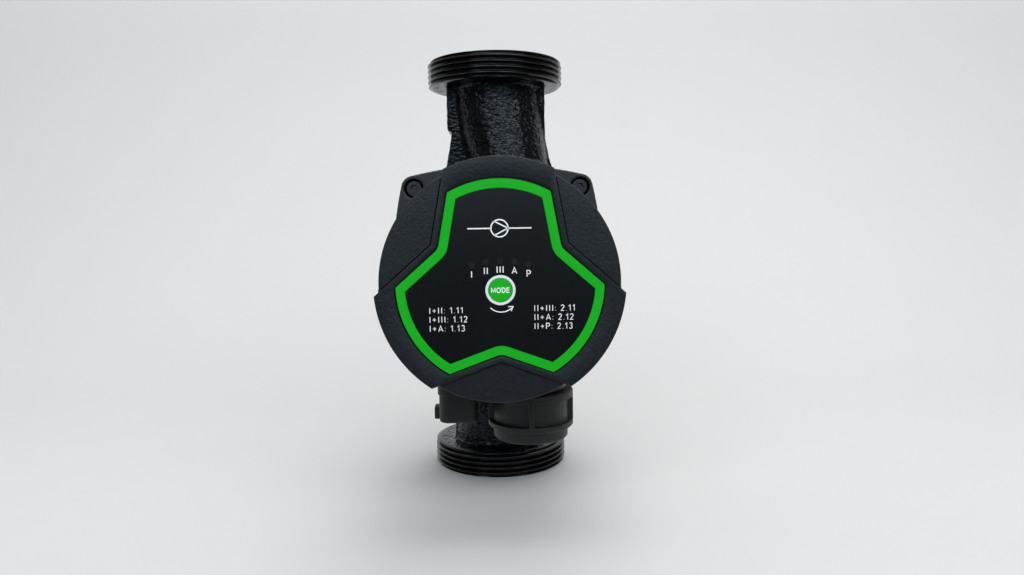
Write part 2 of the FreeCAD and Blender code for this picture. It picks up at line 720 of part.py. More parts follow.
def power_board():
    """Round board on the four posts, with a cut-out for the connector pod's wiring."""
    solid = rod_y(36.6, BOARD_Y, BOARD_Y + BOARD_THICK)
    solid = solid.cut(box(-20.0, 20.0, -82.0, -77.0, AXIS_Z - 40, AXIS_Z - 32))
    for x, z in board_post_places():
        solid = solid.cut(rod_y(0.9, -82.0, -77.0, x, z))
    for x, z in lead_places():
        solid = solid.cut(rod_y(0.8, -82.0, -77.0, x, z))
    return solid


def power_board_screw(x, z):
    return turned_y([
        (BOARD_Y - 1.2, 0), (BOARD_Y - 1.2, 1.3), (BOARD_Y, 1.8),
        (BOARD_Y, 0.9), (-72.6, 0.9), (-72.6, 0),
    ], x, z)


def capacitors():
    tall = rod_y(6.2, BOARD_Y - 11.0, BOARD_Y, -20.0, AXIS_Z + 8.0)
    short = rod_y(4.0, BOARD_Y - 9.0, BOARD_Y, -24.0, AXIS_Z - 8.0)
    return [tall, short]


def line_choke():
    """Toroidal choke standing on the board."""
    return ring_y(7.0, 3.0, BOARD_Y - 6.0, BOARD_Y, 20.0, AXIS_Z - 10.0)


def heat_sink():
    """Finned block on the inverter chip."""
    solid = box(8.0, 28.0, BOARD_Y - 8.0, BOARD_Y, AXIS_Z + 4.0, AXIS_Z + 18.0)
    for i in range(4):
        x = 11.0 + 4.4 * i
        solid = solid.cut(box(x, x + 2.2, BOARD_Y - 9.0, BOARD_Y - 2.0, AXIS_Z, AXIS_Z + 20.0))
    return solid


def board_link():
    """Pin header that joins the power board to the display board."""
    block = box(-6.0, 6.0, BOARD_Y - 4.0, BOARD_Y, AXIS_Z - 12.5, AXIS_Z - 9.5)
    for i in range(-2, 3):
        pin = box(2.2 * i - 0.3, 2.2 * i + 0.3, DISPLAY_Y + 1.2, BOARD_Y - 3.0, AXIS_Z - 11.3, AXIS_Z - 10.7)
        block = block.fuse(pin)
    return block.removeSplitter()


def winding_lead(x, z):
    return rod_y(0.8, BOARD_Y - 0.8, -65.0, x, z)


# ---- connectors --------------------------------------------------------------------------
def power_inlet():
    """Insulating insert of the power inlet, with holes for its three contacts."""
    radius = SHROUD_R - SHROUD_WALL
    solid = rod_z(radius, 40.0, 50.0, INLET_X, INLET_Y)
    solid = solid.fuse(rod_z(7.4, 37.0, 41.0, INLET_X, INLET_Y))
    for x, y in contact_places():
        solid = solid.cut(box(x - 0.4, x + 0.4, y - 1.2, y + 1.2, 36.0, 51.0))
    return solid.removeSplitter()


def contact_places():
    return [(INLET_X - 4.2, INLET_Y), (INLET_X + 4.2, INLET_Y), (INLET_X, INLET_Y + 3.4)]


def inlet_contact(x, y):
    return box(x - 0.4, x + 0.4, y - 1.2, y + 1.2, 33.0, 49.5)


def inlet_seal():
    """Sealing ring at the foot of the inlet's shroud."""
    radius = SHROUD_R - SHROUD_WALL
    seal = Part.makeTorus(radius - 0.9, 0.9, vec(INLET_X, INLET_Y, 39.1), vec(0, 0, 1))
    return seal


def coupling_collar():
    """Ribbed quarter-turn collar that locks a plug; it turns on the inlet's shroud."""
    inner = SHROUD_R + 0.1
    lip = SHROUD_R - 1.6
    body = COLLAR_R + 0.1
    floor = COLLAR_BOTTOM + 1.9
    rim_top = COLLAR_RIM_Z + 2.4
    solid = turned_z([
        (COLLAR_BOTTOM, lip), (COLLAR_BOTTOM, COLLAR_R - 0.7), (COLLAR_BOTTOM + 0.7, COLLAR_R),
        (COLLAR_RIM_Z, COLLAR_R), (COLLAR_RIM_Z, COLLAR_RIM_R - 0.5), (COLLAR_RIM_Z + 0.5, COLLAR_RIM_R),
        (rim_top, COLLAR_RIM_R), (rim_top, body), (COLLAR_TOP_RIM_Z, body), (COLLAR_TOP_RIM_Z, COLLAR_RIM_R),
        (COLLAR_TOP - 0.5, COLLAR_RIM_R), (COLLAR_TOP, COLLAR_RIM_R - 0.5), (COLLAR_TOP, inner),
        (floor, inner), (floor, lip),
    ], INLET_X, INLET_Y)
    y0, y1 = INLET_Y - COLLAR_RIB_HALF, INLET_Y + COLLAR_RIB_HALF
    rib = box(INLET_X + COLLAR_R - 0.6, INLET_X + COLLAR_RIM_R, y0, y1, rim_top - 1.0, COLLAR_TOP_RIM_Z + 1.0)
    for i in range(COLLAR_RIBS):
        turned = rib.copy()
        turned.rotate(vec(INLET_X, INLET_Y, 0), vec(0, 0, 1), COLLAR_RIB_START + i * 360 / COLLAR_RIBS)
        solid = solid.fuse(turned)
    return solid.removeSplitter()


def signal_cover():
    """Clip-on cover of the small socket, with its latch tab on the left."""
    x0, x1 = SIGNAL_X - SIGNAL_HALF, SIGNAL_X + SIGNAL_HALF
    y0, y1 = SIGNAL_Y - 9.6, SIGNAL_Y + 9.6
    height = POD_BOTTOM - SIGNAL_BOTTOM
    block = box(x0, x1, y0, y1, SIGNAL_BOTTOM, POD_BOTTOM)
    block = block.makeFillet(4.0, [e for e in block.Edges if abs(e.Length - height) < 0.01])
    block = block.makeFillet(0.8, [e for e in block.Edges if abs(e.CenterOfMass.z - SIGNAL_BOTTOM) < 0.01])
    hollow = box(x0 + 2.2, x1 - 2.2, y0 + 2.0, y1 - 2.0, SIGNAL_BOTTOM + 1.2, POD_BOTTOM + 1)
    tab = box(x0 - 2.1, x0 + 1.5, SIGNAL_Y - 3.0, SIGNAL_Y + 3.0, SIGNAL_BOTTOM + 0.2, SIGNAL_BOTTOM + 4.8)
    return block.fuse(tab).cut(hollow).removeSplitter()


def signal_pin(y):
    return box(SIGNAL_X - 0.32, SIGNAL_X + 0.32, y - 0.32, y + 0.32, 37.0, 48.0)


def with_holes_for(solid, pins):
    for pin in pins:
        solid = solid.cut(pin)
    return solid


def main():
    os.makedirs("parts", exist_ok=True)

    save("pump_housing", [pump_housing()])
    save("neck_ring", [neck_ring()])
    save("impeller", [impeller()])
    save("shaft", [shaft()])
    save("bearing_plate", [bearing_plate()])
    save("front_bearing", [bearing(-34.0, -25.0)])
    save("rear_bearing", [bearing(-65.8, -60.2)])
    save("thrust_collar", [thrust_collar()])
    save("rotor_can", [rotor_can()])
    save("can_gasket", [can_gasket()])

    save("rotor_core", [rotor_core()])
    save("rotor_magnet", [rotor_magnet()])
    save("rotor_jacket", [rotor_jacket()])
    save("stator_core", [stator_core()])
    save("stator_coils", stator_coils())
    save("coil_formers", coil_formers())
    save("motor_housing", [motor_housing()])
    save("flange_bolts", [flange_bolt(x, z) for x, z in bolt_places()])
    save("winding_leads", [winding_lead(x, z) for x, z in lead_places()])

    signal_pins = [signal_pin(SIGNAL_Y + offset) for offset in (-3.0, 0.0, 3.0)]
    save("control_housing", [with_holes_for(control_housing(), signal_pins)])
    save("control_screws", [control_screw(x, z) for x, z in control_screw_places()])
    save("front_cover", [front_cover()])
    save("cover_seal", [cover_seal()])
    save("front_panel", [front_panel()])
    save("outline_band", [band_ring(PANEL_FRONT - 0.05, PANEL_FRONT + 0.3)])
    save("indicator_lenses", [lens(x, z) for x, z in lens_places()])
    save("button_bezel", [button_bezel()])
    save("mode_button", [mode_button()])
    save("button_switch", [button_switch()])
    save("display_board", [display_board()])
    save("indicator_leds", indicator_leds())
    back = DISPLAY_Y + 1.2
    save("display_screws", [board_screw(x, z, back, 4.0, 0.8) for x, z in display_post_places()])
    save("power_board", [power_board()])
    save("board_screws", [power_board_screw(x, z) for x, z in board_post_places()])
    save("capacitors", capacitors())
    save("line_choke", [line_choke()])
    save("heat_sink", [heat_sink()])
    save("board_link", [board_link()])

    save("power_inlet", [power_inlet()])
    save("inlet_contacts", [inlet_contact(x, y) for x, y in contact_places()])
    save("inlet_seal", [inlet_seal()])
    save("coupling_collar", [coupling_collar()])
    save("signal_cover", [signal_cover()])
    save("signal_contacts", signal_pins)


main()
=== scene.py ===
import json
import math

import bmesh
import bpy
import numpy as np
from mathutils import Matrix, Vector


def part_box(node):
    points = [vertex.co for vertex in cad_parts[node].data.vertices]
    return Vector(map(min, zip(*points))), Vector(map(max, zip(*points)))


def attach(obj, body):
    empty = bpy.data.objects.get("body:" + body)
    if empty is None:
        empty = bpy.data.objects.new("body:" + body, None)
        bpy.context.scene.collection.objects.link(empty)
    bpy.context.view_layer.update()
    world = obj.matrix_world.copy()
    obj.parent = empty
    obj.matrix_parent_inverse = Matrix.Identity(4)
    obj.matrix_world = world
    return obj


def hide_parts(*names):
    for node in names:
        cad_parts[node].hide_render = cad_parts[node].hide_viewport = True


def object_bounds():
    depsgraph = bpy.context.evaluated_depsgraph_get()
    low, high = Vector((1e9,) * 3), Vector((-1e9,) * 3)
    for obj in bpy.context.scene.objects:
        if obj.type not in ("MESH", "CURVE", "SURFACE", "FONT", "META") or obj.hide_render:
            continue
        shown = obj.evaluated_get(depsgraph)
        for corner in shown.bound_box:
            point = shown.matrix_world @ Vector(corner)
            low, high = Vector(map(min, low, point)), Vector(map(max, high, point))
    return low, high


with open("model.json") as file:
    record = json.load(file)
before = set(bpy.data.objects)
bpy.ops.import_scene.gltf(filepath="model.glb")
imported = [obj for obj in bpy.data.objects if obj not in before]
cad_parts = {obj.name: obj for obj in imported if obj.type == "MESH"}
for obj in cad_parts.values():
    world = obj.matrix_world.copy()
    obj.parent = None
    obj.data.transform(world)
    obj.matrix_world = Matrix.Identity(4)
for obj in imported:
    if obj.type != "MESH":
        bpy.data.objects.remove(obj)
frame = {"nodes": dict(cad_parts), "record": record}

# Circulator pump in the CAD's frame: +Z up the pipe axis, the head faces -Y. Shapes are worked out
# in millimetres and stored in metres.
MM = 0.001
CAD_LOW, CAD_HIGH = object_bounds()
PORT_TOP = CAD_HIGH.z / MM
AXIS_Z = PORT_TOP / 2

# ---- shared dimensions, in millimetres and degrees -------------------------------------------
BORE_R = 16.0
COLLAR_BORE_R = 12.7
COLLAR_PLAY = 0.25
THREAD_R = 29.78
THREAD_ROOT_R = 28.33
THREAD_UNDERCUT = 0.35
THREAD_PITCH = 2.309
THREAD_MARGIN = 0.25
RIM_LENGTH = 11.2
HEAD_R = 39.4
LOBE_R = 41.0
LOBE_HALF_ANGLE = 25.6
LOBE_VALLEY_R = 25.6
LOBE_VALLEY_ROUND = 1.0
# width of the painted shadow strip along the foot of the lobes
PAINTED_SHADOW_WIDTH = 0.34
COVER_BACK = -92.0
SECTOR_FRONT = -100.2
LOBE_FRONT = -101.4
PANEL_FRONT = -101.5
PANEL_BACK = -100.7
LOBE_ANGLES = (90.0, 210.5, 329.5)
VALLEY_ANGLES = (150.0, 270.0, 390.0)
BAND_R = 33.8
BAND_HALF_ANGLE = 29.3
BAND_VALLEY_R = 23.0
BAND_VALLEY_ROUND = 4.0
BAND_WIDTH = 3.1
BUTTON_Z = AXIS_Z - 2.0
BUTTON_R = 3.87
BUTTON_FACE = PANEL_FRONT - 0.33
BUTTON_BACK = -98.88
BUTTON_COLLAR_R = 5.6
BUTTON_COLLAR_BACK = -98.1
BUTTON_STEM_R = 1.2
BUTTON_STEM_END = -97.3
BEZEL_R = 4.88
BEZEL_BACK = -98.9
LENS_R = 1.0
LENS_SPACING = 4.6
LENS_ARC_R = 30.0
LENS_TOP_Z = AXIS_Z + 7.55

# ---- camera ----------------------------------------------------------------------------------
FOCAL_MM = 26.04
SENSOR_MM = 36.0
CAMERA_PLACE = Vector((-0.0024, -0.3393, 0.1105))
CAMERA_PITCH = 0.091
CAMERA_PAN = 0.0258
CAMERA_ROLL = -0.0149


# ---- mesh helpers ----------------------------------------------------------------------------
def link(obj):
    bpy.context.scene.collection.objects.link(obj)
    return obj


def object_from(name, verts, faces):
    """New object from millimetre coordinates."""
    mesh = bpy.data.meshes.new(name)
    mesh.from_pydata([Vector(v) * MM for v in verts], [], faces)
    mesh.update()
    return link(bpy.data.objects.new(name, mesh))


def tidy_normals(obj, smooth_angle=35.0):
    bm = bmesh.new()
    bm.from_mesh(obj.data)
    bmesh.ops.remove_doubles(bm, verts=bm.verts, dist=1e-7)
    bmesh.ops.recalc_face_normals(bm, faces=bm.faces)
    limit = math.radians(smooth_angle)
    for face in bm.faces:
        face.smooth = True
    for edge in bm.edges:
        edge.smooth = len(edge.link_faces) == 2 and edge.calc_face_angle(0.0) < limit
    bm.to_mesh(obj.data)
    bm.free()
    return obj


def joined(name, objects):
    """One object out of several, which are used up."""
    bm = bmesh.new()
    for obj in objects:
        bm.from_mesh(obj.data)
        bpy.data.objects.remove(obj)
    mesh = bpy.data.meshes.new(name)
    bm.to_mesh(mesh)
    bm.free()
    for polygon in mesh.polygons:
        polygon.use_smooth = True
    return link(bpy.data.objects.new(name, mesh))


def turned_faces(steps, count, strips):
    """Faces between the copies of a profile of count points that a turn about an axis leaves."""
    faces = []
    for i in range(steps):
        j = (i + 1) % steps
        for k in range(strips):
            m = (k + 1) % count
            faces.append((i * count + k, j * count + k, j * count + m, i * count + m))
    return faces


def lathe(name, profile, steps, centre_z, closed=True):
    """Turn a profile of (radius, y) about a line along Y at a height in millimetres."""
    verts = []
    for i in range(steps):
        angle = 2 * math.pi * i / steps
        verts += [(r * math.cos(angle), y, r * math.sin(angle) + centre_z) for r, y in profile]
    count = len(profile)
    faces = turned_faces(steps, count, count if closed else count - 1)
    return tidy_normals(object_from(name, verts, faces))


def curve_run(u, v, radius_u, radius_v, start, end, steps=10):
    """Points along part of an ellipse in a plane, angles in degrees."""
    run = []
    for i in range(steps + 1):
        angle = math.radians(start + (end - start) * i / steps)
        run.append((u + radius_u * math.cos(angle), v + radius_v * math.sin(angle)))
    return run


def arc(u, v, radius, start, end, steps):
    return curve_run(u, v, radius, radius, start, end, steps)


def lattice(points, seed):
    """Smooth random values in -1..1 at points given in lattice units, the same on every run."""
    base = np.floor(points).astype(np.int64)
    part = points - base
    ease = part * part * (3 - 2 * part)
    total = np.zeros(len(points))
    for corner in range(8):
        offset = np.array([corner & 1, corner >> 1 & 1, corner >> 2 & 1])
        key = (base + offset) * np.array([374761393, 668265263, 2147483647])
        mixed = (key.sum(axis=1) + seed * 144665) & 0xFFFFFFFF
        mixed = ((mixed ^ (mixed >> 13)) * 1274126177) & 0xFFFFFFFF
        mixed = ((mixed ^ (mixed >> 16)) * 2246822519) & 0xFFFFFFFF
        value = (mixed ^ (mixed >> 15)) / 0xFFFFFFFF * 2 - 1
        weight = np.where(offset, ease, 1 - ease).prod(axis=1)
        total += value * weight
    return total


def coordinates(mesh):
    co = np.empty(len(mesh.vertices) * 3)
    mesh.vertices.foreach_get("co", co)
    return co.reshape(-1, 3) / MM


def set_coordinates(mesh, co):
    mesh.vertices.foreach_set("co", (co * MM).ravel())
    mesh.update()


def edge_array(mesh):
    pairs = np.empty(len(mesh.edges) * 2, dtype=np.int64)
    mesh.edges.foreach_get("vertices", pairs)
    return pairs.reshape(-1, 2)


def relax(co, pairs, weight, rounds, keep_volume):
    """Even out a mesh; with keep_volume each shrinking step is followed by a growing one."""
    count = len(co)
    degree = np.bincount(pairs.ravel(), minlength=count)[:, None]
    for step in range(rounds):
        total = np.zeros_like(co)
        for axis in range(3):
            total[:, axis] = np.bincount(pairs[:, 0], co[pairs[:, 1], axis], count)
            total[:, axis] += np.bincount(pairs[:, 1], co[pairs[:, 0], axis], count)
        rate = -0.53 if keep_volume and step % 2 else 0.5
        co = co + (total / np.maximum(degree, 1) - co) * rate * weight[:, None]
    return co


def vertex_normals(mesh):
    normals = np.empty(len(mesh.vertices) * 3)
    mesh.vertices.foreach_get("normal", normals)
    return normals.reshape(-1, 3)


def remeshed(node, name, voxel):
    """Even mesh over a CAD node's shape, as a new object."""
    source = frame["nodes"][node]
    copy = link(bpy.data.objects.new(name + "_source", source.data.copy()))
    bm = bmesh.new()
    bm.from_mesh(copy.data)
    bmesh.ops.remove_doubles(bm, verts=bm.verts, dist=1e-7)
    bm.to_mesh(copy.data)
    bm.free()
    remesh = copy.modifiers.new("even", "REMESH")
    remesh.mode = "VOXEL"
    remesh.voxel_size = voxel * MM
    graph = bpy.context.evaluated_depsgraph_get()
    mesh = bpy.data.meshes.new_from_object(copy.evaluated_get(graph))
    bpy.data.objects.remove(copy)
    mesh.name = name
    mesh.materials.clear()
    for polygon in mesh.polygons:
        polygon.use_smooth = True
    return link(bpy.data.objects.new(name, mesh))


def softened(node, name, voxel, rounds):
    """A moulded or cast copy of a CAD node with small rounded edges."""
    obj = remeshed(node, name, voxel)
    co = coordinates(obj.data)
    low, high = co.min(axis=0), co.max(axis=0)
    co = relax(co, edge_array(obj.data), np.ones(len(co)), rounds, True)
    set_coordinates(obj.data, np.clip(co, low, high))
    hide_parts(node)
    return obj


def eased_bore(obj, node, radius, play):
    """Open the bore of a remeshed ring a little, so that it clears the part it turns on."""
    inner_reach = 0.35
    low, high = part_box(node)
    centre = np.array([low.x + high.x, low.y + high.y]) / 2 / MM
    co = coordinates(obj.data)
    away = co[:, :2] - centre
    reach = np.hypot(away[:, 0], away[:, 1])
    near = (reach > radius - inner_reach) & (reach < radius + play)
    co[near, :2] = centre + away[near] * ((radius + play) / reach[near])[:, None]
    set_coordinates(obj.data, co)
    return obj


def stand_for(obj, body, slot, material=None):
    """Material and body of a piece; the material is the slot's own unless one is given."""
    obj.data.materials.clear()
    obj.data.materials.append(material or MATERIALS[slot])
    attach(obj, body)
    return obj


# ---- outline of the head's lobes ---------------------------------------------------------------
def polar(radius, degrees):
    angle = math.radians(degrees)
    return Vector((radius * math.cos(angle), radius * math.sin(angle)))


def three_lobes(rim_r, half_angle, valley_r, valley_round, arc_steps=24, round_steps=8):
    """Closed outline about the motor axis; every outline has the same number of points."""
    points = []
    for i, lobe in enumerate(LOBE_ANGLES):
        following = LOBE_ANGLES[(i + 1) % 3]
        for k in range(arc_steps + 1):
            share = k / arc_steps
            points.append(polar(rim_r, lobe - half_angle + 2 * half_angle * share))
        before, after = points[-1], polar(rim_r, following - half_angle)
        valley = polar(valley_r, VALLEY_ANGLES[i])
        u, w = (before - valley).normalized(), (after - valley).normalized()
        half = u.angle(w) / 2
        reach = valley_round / math.tan(half)
        centre = valley + (u + w).normalized() * (valley_round / math.sin(half))
        first, last = valley + u * reach - centre, valley + w * reach - centre
        turn = math.pi - 2 * half
        side = 1 if first.x * last.y - first.y * last.x > 0 else -1
        for k in range(round_steps + 1):
            angle = side * turn * k / round_steps
            c, s = math.cos(angle), math.sin(angle)
            points.append(centre + Vector((first.x * c - first.y * s, first.x * s + first.y * c)))
    return points


def lobe_outline():
    return three_lobes(LOBE_R, LOBE_HALF_ANGLE, LOBE_VALLEY_R, LOBE_VALLEY_ROUND)


def panel_outline(rim_play=0.0, valley_play=0.0):
    """Outer edge of the green band, moved outwards by the plays of its rim and its valleys."""
    rim_r, valley_r = BAND_R + rim_play, BAND_VALLEY_R + valley_play
    return three_lobes(rim_r, BAND_HALF_ANGLE, valley_r, BAND_VALLEY_ROUND)


def inset(points, width):
    """Outline moved inwards by a width, corners mitred."""
    shortest, sharpest = 1e-6, 0.3
    count = len(points)
    moved = []
    for i, p in enumerate(points):
        before, after = p - points[i - 1], points[(i + 1) % count] - p
        if before.length < shortest:
            before = p - points[i - 2]
        if after.length < shortest:
            after = points[(i + 2) % count] - p
        a = Vector((-before.y, before.x)).normalized()
        b = Vector((-after.y, after.x)).normalized()
        middle = (a + b).normalized()
        moved.append(p + middle * (width / max(middle.dot(a), sharpest)))
    return moved


def stacked(name, layers, cap_first=False, cap_last=False):
    """Skin through outlines of equal length; layers lists (outline, y)."""
    count = len(layers[0][0])
    verts = [(p.x, y, AXIS_Z + p.y) for outline, y in layers for p in outline]
    faces = []
    for k in range(len(layers) - 1):
        for i in range(count):
            j = (i + 1) % count
            faces.append((k * count + i, k * count + j, (k + 1) * count + j, (k + 1) * count + i))
    if cap_first:
        faces.append(tuple(range(count)))
    if cap_last:
        faces.append(tuple(range((len(layers) - 1) * count, len(layers) * count)))
    return tidy_normals(object_from(name, verts, faces), 30.0)


# ---- materials -------------------------------------------------------------------------------
class Paint:
    """A principled material with a few helpers for its noise layers."""

    def __init__(self, name, colour, roughness, metallic=0.0):
        self.material = bpy.data.materials.new(name)
        self.material.use_nodes = True
        self.tree = self.material.node_tree
        self.shader = self.tree.nodes["Principled BSDF"]
        self.shader.inputs["Base Color"].default_value = (*colour, 1.0)
        self.shader.inputs["Roughness"].default_value = roughness
        self.shader.inputs["Metallic"].default_value = metallic
        self.place = self.tree.nodes.new("ShaderNodeTexCoord").outputs["Object"]
        self.height = None

    def node(self, kind, **values):
        made = self.tree.nodes.new(kind)
        for key, value in values.items():
            setattr(made, key, value)
        return made

    def join(self, output, target):
        self.tree.links.new(output, target)

    def stretched(self, scale):
        """Object coordinates multiplied by a scale for each axis, per metre."""
        mapping = self.node("ShaderNodeMapping")
        self.join(self.place, mapping.inputs["Vector"])
        mapping.inputs["Scale"].default_value = scale
        return mapping.outputs["Vector"]

    def noise(self, size_mm, detail=3.0, rough=0.55, stretch=(1, 1, 1), warp=0.0):
        texture = self.node("ShaderNodeTexNoise")
        vector = self.stretched([s / (size_mm * MM) for s in stretch])
        self.join(vector, texture.inputs["Vector"])
        texture.inputs["Scale"].default_value = 1.0
        texture.inputs["Detail"].default_value = detail
        texture.inputs["Roughness"].default_value = rough
        texture.inputs["Distortion"].default_value = warp
        return texture.outputs["Fac"]

    def cells(self, size_mm, feature="F1", stretch=(1, 1, 1)):
        texture = self.node("ShaderNodeTexVoronoi", feature=feature)
        self.join(self.stretched([s / (size_mm * MM) for s in stretch]), texture.inputs["Vector"])
        texture.inputs["Scale"].default_value = 1.0
        return texture.outputs["Distance"]

    def remap(self, value, low, high, to_low=0.0, to_high=1.0):
        mapped = self.node("ShaderNodeMapRange")
        self.join(value, mapped.inputs["Value"])
        mapped.inputs["From Min"].default_value = low
        mapped.inputs["From Max"].default_value = high
        mapped.inputs["To Min"].default_value = to_low
        mapped.inputs["To Max"].default_value = to_high
        return mapped.outputs["Result"]

    def tint(self, value, other):
        """Blend the base colour towards another where value is high."""
        mix = self.node("ShaderNodeMix", data_type="RGBA")
        previous = self.shader.inputs["Base Color"]
        if previous.is_linked:
            self.join(previous.links[0].from_socket, mix.inputs[6])
        else:
            mix.inputs[6].default_value = previous.default_value
        mix.inputs[7].default_value = (*other, 1.0)
        self.join(value, mix.inputs[0])
        self.join(mix.outputs[2], previous)
        return self

    def gloss(self, value, low, high):
        """Roughness that follows a value between two limits."""
        self.join(self.remap(value, 0.3, 0.7, low, high), self.shader.inputs["Roughness"])
        return self

    def bump(self, value, depth_mm):
        """Add relief of a given depth; layers stack."""
        bump = self.node("ShaderNodeBump")
        bump.inputs["Strength"].default_value = 1.0
        bump.inputs["Distance"].default_value = depth_mm * MM
        self.join(value, bump.inputs["Height"])
        if self.height is not None:
            self.join(self.height, bump.inputs["Normal"])
        self.height = bump.outputs["Normal"]
        self.join(self.height, self.shader.inputs["Normal"])
        return self

    def set(self, **values):
        for key, value in values.items():
            self.shader.inputs[key.replace("_", " ")].default_value = value
        return self


def cast_paint():
    """Thick black enamel over rough sand-cast iron."""
    paint = Paint("cast_paint", (0.002, 0.0025, 0.0032), 0.2)
    paint.set(Specular_IOR_Level=0.25, Specular_Tint=(0.78, 0.9, 1.0, 1.0))
    peel = paint.noise(1.8, 0.0, 0.4, (1.0, 1.0, 1.6), 0.4)
    paint.bump(paint.remap(peel, 0.3, 0.7), 0.19)
    paint.tint(paint.remap(paint.noise(9.0, 4.0), 0.5, 0.75, 0.0, 0.5), (0.0045, 0.005, 0.006))
    paint.gloss(paint.noise(5.0, 2.0), 0.17, 0.22)
    return paint.material


def thread_paint():
    """The same enamel on machined threads: smooth, a little thinner on the crests."""
    paint = Paint("thread_paint", (0.0026, 0.0028, 0.003), 0.17).set(Specular_IOR_Level=0.4)
    paint.bump(paint.noise(2.2, 1.0, 0.5), 0.012)
    paint.tint(paint.remap(paint.noise(5.0, 4.0), 0.5, 0.8, 0.0, 0.6), (0.008, 0.0082, 0.0085))
    paint.gloss(paint.noise(3.0, 2.0), 0.13, 0.2)
    return paint.material


def motor_paint():
    """Powder coat on the aluminium motor shell: even, finely pebbled."""
    paint = Paint("motor_paint", (0.009, 0.012, 0.0155), 0.4)
    paint.bump(paint.cells(0.55, "SMOOTH_F1"), 0.09)
    paint.bump(paint.noise(0.22, 2.0), 0.03)
    paint.tint(paint.remap(paint.noise(12.0, 4.0), 0.45, 0.8, 0.0, 0.5), (0.015, 0.018, 0.021))
    paint.gloss(paint.noise(1.2, 3.0), 0.34, 0.5)
    return paint.material


def head_plastic():
    """Charcoal moulded plastic with a fine eroded texture and pale specks."""
    paint = Paint("head_plastic", (0.0056, 0.0072, 0.0098), 0.42)
    paint.set(Specular_IOR_Level=0.42, Specular_Tint=(0.86, 0.95, 1.0, 1.0))
    paint.bump(paint.noise(0.9, 3.0, 0.7), 0.16)
    specks = paint.remap(paint.cells(1.1), 0.0, 0.2, 1.0, 0.0)
    paint.tint(paint.remap(specks, 0.3, 1.0, 0.0, 0.6), (0.1, 0.11, 0.125))
    paint.tint(paint.remap(paint.noise(1.1, 4.0, 0.7), 0.4, 0.7, 0.0, 0.6), (0.013, 0.015, 0.018))
    paint.gloss(paint.noise(0.9, 3.0), 0.34, 0.5)
    return paint.material


def connector_plastic():
    """Black glass-filled plastic of the connectors, slightly warmer than the head."""
    paint = Paint("connector_plastic", (0.008, 0.0078, 0.0076), 0.46).set(Specular_IOR_Level=0.4)
    paint.bump(paint.noise(0.4, 3.0, 0.6, (1, 1, 0.4)), 0.04)
    stains = paint.remap(paint.noise(3.0, 5.0, 0.7), 0.45, 0.75, 0.0, 0.6)
    paint.tint(stains, (0.0145, 0.0137, 0.013))
    paint.gloss(paint.noise(1.5, 3.0), 0.4, 0.58)
    return paint.material


def panel_film():
    """Printed satin film: nearly black, very fine pebble."""
    paint = Paint("panel_film", (0.0034, 0.0045, 0.006), 0.24).set(Specular_IOR_Level=0.42)
    paint.bump(paint.noise(0.12, 2.0), 0.006)
    paint.tint(paint.remap(paint.noise(30.0, 2.0), 0.4, 0.7, 0.0, 0.5), (0.0055, 0.0072, 0.0092))
    paint.gloss(paint.noise(0.6, 3.0), 0.22, 0.27)
    return paint.material


def coloured(name, colour, deeper, roughness, shine=0.2):
    """Satin moulded or printed colour with faint mottling."""
    paint = Paint(name, colour, roughness).set(Specular_IOR_Level=shine)
    paint.bump(paint.noise(0.15, 2.0), 0.006)
    paint.tint(paint.remap(paint.noise(4.0, 4.0), 0.4, 0.75, 0.0, 0.5), deeper)
    paint.gloss(paint.noise(0.8, 3.0), roughness - 0.06, roughness + 0.06)
    return paint.material


def smoked_lens():
    """Smoked polycarbonate over an unlit indicator."""
    paint = Paint("smoked_lens", (0.012, 0.0085, 0.0072), 0.25).set(Specular_IOR_Level=0.3)
    paint.tint(paint.remap(paint.cells(0.5), 0.1, 0.6), (0.02, 0.0135, 0.011))
    paint.bump(paint.noise(0.2, 2.0), 0.01)
    return paint.material


def metal(name, colour, roughness, grain):
    """Bare metal with machining or drawing marks along one direction."""
    paint = Paint(name, colour, roughness, 1.0)
    paint.bump(paint.noise(0.3, 4.0, 0.6, grain), 0.012)
    paint.tint(paint.remap(paint.noise(3.0, 4.0), 0.4, 0.8, 0.0, 0.4), [c * 0.75 for c in colour])
    paint.gloss(paint.noise(0.6, 4.0, 0.6, grain), roughness - 0.08, roughness + 0.1)
    return paint.material


def banded(name, colour, gap_colour, pitch_mm, axis, roughness, metallic):
    """Layers or turns: narrow bands at a pitch along one axis, such as laminations or wire."""
    paint = Paint(name, colour, roughness, metallic)
    wave = paint.node(
        "ShaderNodeTexWave", wave_type="BANDS", bands_direction=axis, wave_profile="SIN")
    paint.join(paint.stretched([1 / (pitch_mm * MM * 2)] * 3), wave.inputs["Vector"])
    wave.inputs["Scale"].default_value = 0.63
    wave.inputs["Distortion"].default_value = 0.4
    wave.inputs["Detail"].default_value = 1.0
    paint.tint(paint.remap(wave.outputs["Fac"], 0.35, 0.05), gap_colour)
    paint.bump(wave.outputs["Fac"], pitch_mm * 0.3)
    paint.gloss(paint.noise(2.0, 3.0), roughness - 0.05, roughness + 0.1)
    return paint.material


def solder_mask():
    """Green board with faint copper tracks under the mask."""
    paint = Paint("solder_mask", (0.008, 0.07, 0.028), 0.35)
    tracks = paint.node("ShaderNodeTexBrick")
    paint.join(paint.stretched([420, 420, 420]), tracks.inputs["Vector"])
    tracks.inputs["Scale"].default_value = 1.0
    tracks.inputs["Mortar Size"].default_value = 0.06
    paint.tint(paint.remap(tracks.outputs["Fac"], 0.2, 0.9, 0.0, 0.7), (0.02, 0.13, 0.05))
    paint.bump(tracks.outputs["Fac"], 0.03)
    paint.gloss(paint.noise(2.0, 3.0), 0.28, 0.42)
    return paint.material


